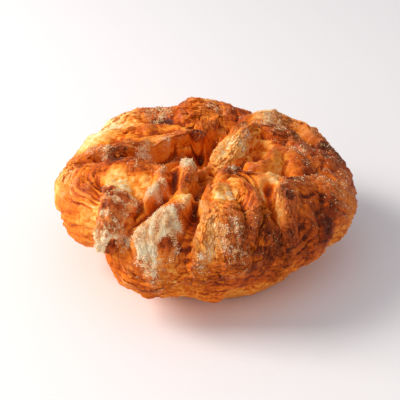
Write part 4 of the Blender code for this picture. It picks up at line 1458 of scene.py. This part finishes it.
# %% Scatter the grains
GRAINS = 20000
FLAP_GRAINS = 1500
GRAIN_SIZE = (0.16, 0.36)
GRAIN_STRETCH = (0.8, 1.5)
GRAIN_HEAP = 0.12
GRAIN_JITTER = 0.22
FLAP_JITTER = 0.12
DUSTED = 0.012  # how thickly grains lie beyond the patches
GRAIN_TONES = ((0.0, "#FFF0CC"), (0.4, "#FFDCA8"), (0.7, "#EFAE6C"), (1.0, "#BC6C34"))


def rotations(count, draw):
    """Rotation matrices that turn each grain its own way, from random quaternions."""
    w, x, y, z = directions(draw.normal(size=(count, 4))).T
    return np.array(
        [
            [1 - 2 * (y * y + z * z), 2 * (x * y - z * w), 2 * (x * z + y * w)],
            [2 * (x * y + z * w), 1 - 2 * (x * x + z * z), 2 * (y * z - x * w)],
            [2 * (x * z - y * w), 2 * (y * z + x * w), 1 - 2 * (x * x + y * y)],
        ]
    ).transpose(2, 0, 1)


def crystals(spots, sizes, draw):
    """Eight-sided crystals, each stretched and turned its own way: all corners and all faces."""
    corner = np.array([(1, 0, 0), (-1, 0, 0), (0, 1, 0), (0, -1, 0), (0, 0, 1), (0, 0, -1)]) * 0.5
    sides = np.array([(0, 2, 4), (2, 1, 4), (1, 3, 4), (3, 0, 4), (2, 0, 5), (1, 2, 5), (3, 1, 5), (0, 3, 5)])
    count = len(spots)
    rotation = rotations(count, draw)
    shape = corner[None] * draw.uniform(*GRAIN_STRETCH, (count, 1, 3)) + draw.normal(0, 0.06, (count, 6, 3))
    corners = np.einsum("nij,nkj->nki", rotation, shape * sizes[:, None, None]) + spots[:, None]
    faces = sides[None] + len(corner) * np.arange(count)[:, None, None]
    return corners.reshape(-1, 3), faces.reshape(-1, 3)


def coarse_sugar():
    """Coarse sugar, dry or just wetted by caramel: cream to amber from place to place, with bright faces."""
    material, shader = fresh("coarse sugar")
    colour = ramp(material, stored(material, "tone"), GRAIN_TONES)
    material.node_tree.links.new(colour.outputs[0], shader.inputs["Base Color"])
    shader.inputs["Roughness"].default_value = 0.35
    shader.inputs["Subsurface Weight"].default_value = 0.4
    shader.inputs["Subsurface Radius"].default_value = (1.0, 0.8, 0.55)
    shader.inputs["Subsurface Scale"].default_value = 0.6 * MM
    return material


draw = np.random.default_rng(7)
dusted = DUSTED * limited(outside[:, 2]) * (sugared > 0.1)
weight = spacing * (limited(sugared - 0.25) ** 1.5 + dusted)
chosen = draw.choice(len(skin), GRAINS, p=weight / weight.sum())
jitter = draw.normal(0, GRAIN_JITTER, (GRAINS, 3))
heap = draw.random(GRAINS) ** 2 * GRAIN_HEAP * sugared[chosen]
spots = skin[chosen] + jitter + outside[chosen] * heap[:, None]
# Grains are palest where the sugar lies thick. The rest stand in caramel.
tones = 0.38 + 0.8 * noise(plain[chosen] / 1.6, 91) + (0.8 - sugared[chosen]) * 0.45
tones += draw.normal(0, 0.1, GRAINS)
dusty = draw.choice(size, FLAP_GRAINS, p=dusting.ravel() / dusting.sum())
spots = np.concatenate([spots, flap_points[dusty] + draw.normal(0, FLAP_JITTER, (FLAP_GRAINS, 3))])
tones = np.concatenate([tones, 0.72 - 0.3 * tip.ravel()[dusty] + draw.normal(0, 0.15, FLAP_GRAINS)])
grain_points, grain_faces = crystals(spots, draw.uniform(*GRAIN_SIZE, len(spots)), draw)
grains = piece("sugar_grains", grain_points, grain_faces.tolist(), coarse_sugar(), smooth=False)
attribute(grains.data, "tone", "FLOAT", np.repeat(limited(tones), len(grain_points) // len(spots)))
print(GRAINS + FLAP_GRAINS, "grains of sugar")

# %% [markdown]
# ## Floor, light and camera
#
# The photograph was taken on a white table by a window on the left and a little behind. A large soft light
# there gives the bright left edges and the grey shadow to the right. A second one, a tenth as strong,
# stands at the front left, like light that a pale wall gives back. The camera looks down by 32 degrees.

# %% Floor
def white_table():
    """A matt white table top, a touch warm."""
    material, shader = fresh("matt white table top")
    shader.inputs["Base Color"].default_value = linear("#F1EFF0")
    shader.inputs["Roughness"].default_value = 0.8
    return material


FLOOR_SIZE = 3.0
floor_mesh = bpy.data.meshes.new("floor")
half = FLOOR_SIZE / 2
corners = [(-half, -half, 0), (half, -half, 0), (half, half, 0), (-half, half, 0)]
floor_mesh.from_pydata(corners, [], [(0, 1, 2, 3)])
floor_mesh.materials.append(white_table())
floor = bpy.data.objects.new("floor", floor_mesh)
bpy.context.scene.collection.objects.link(floor)


# %% Lights
def aim(obj, spot, target):
    """Stands the object at spot with its -Z axis towards the target."""
    obj.location = spot
    obj.rotation_mode = "QUATERNION"
    obj.rotation_quaternion = (Vector(target) - Vector(spot)).to_track_quat("-Z", "Y")


def softbox(name, spot, size, power, colour="#FFFFFF"):
    """A square area light that looks at the cake."""
    light = bpy.data.lights.new(name, "AREA")
    light.size = size
    light.energy = power
    light.color = linear(colour)[:3]
    obj = bpy.data.objects.new(name, light)
    bpy.context.scene.collection.objects.link(obj)
    aim(obj, spot, (0, 0, 0.02))


softbox("window", (-0.58, 0.046, 0.464), 0.37, 5.4, "#FFF8F0")
softbox("fill", (-0.30, -0.45, 0.35), 0.40, 0.58, "#FFF6EC")
world = bpy.data.worlds.new("room")
world.use_nodes = True
world.node_tree.nodes["Background"].inputs[0].default_value = linear("#F2F4FA")
world.node_tree.nodes["Background"].inputs[1].default_value = 0.55
bpy.context.scene.world = world

# %% Camera
ELEVATION = math.radians(32.0)
CAMERA_DISTANCE = 0.300
LENS = 85.0
TARGET = Vector((-0.0017, 0.0, 0.0175))

camera_data = bpy.data.cameras.new("camera")
camera_data.lens = LENS
camera = bpy.data.objects.new("camera", camera_data)
bpy.context.scene.collection.objects.link(camera)
back = Vector((0, -math.cos(ELEVATION), math.sin(ELEVATION)))
aim(camera, TARGET + back * CAMERA_DISTANCE, TARGET)
bpy.context.scene.camera = camera
bpy.context.scene.view_settings.view_transform = "Standard"
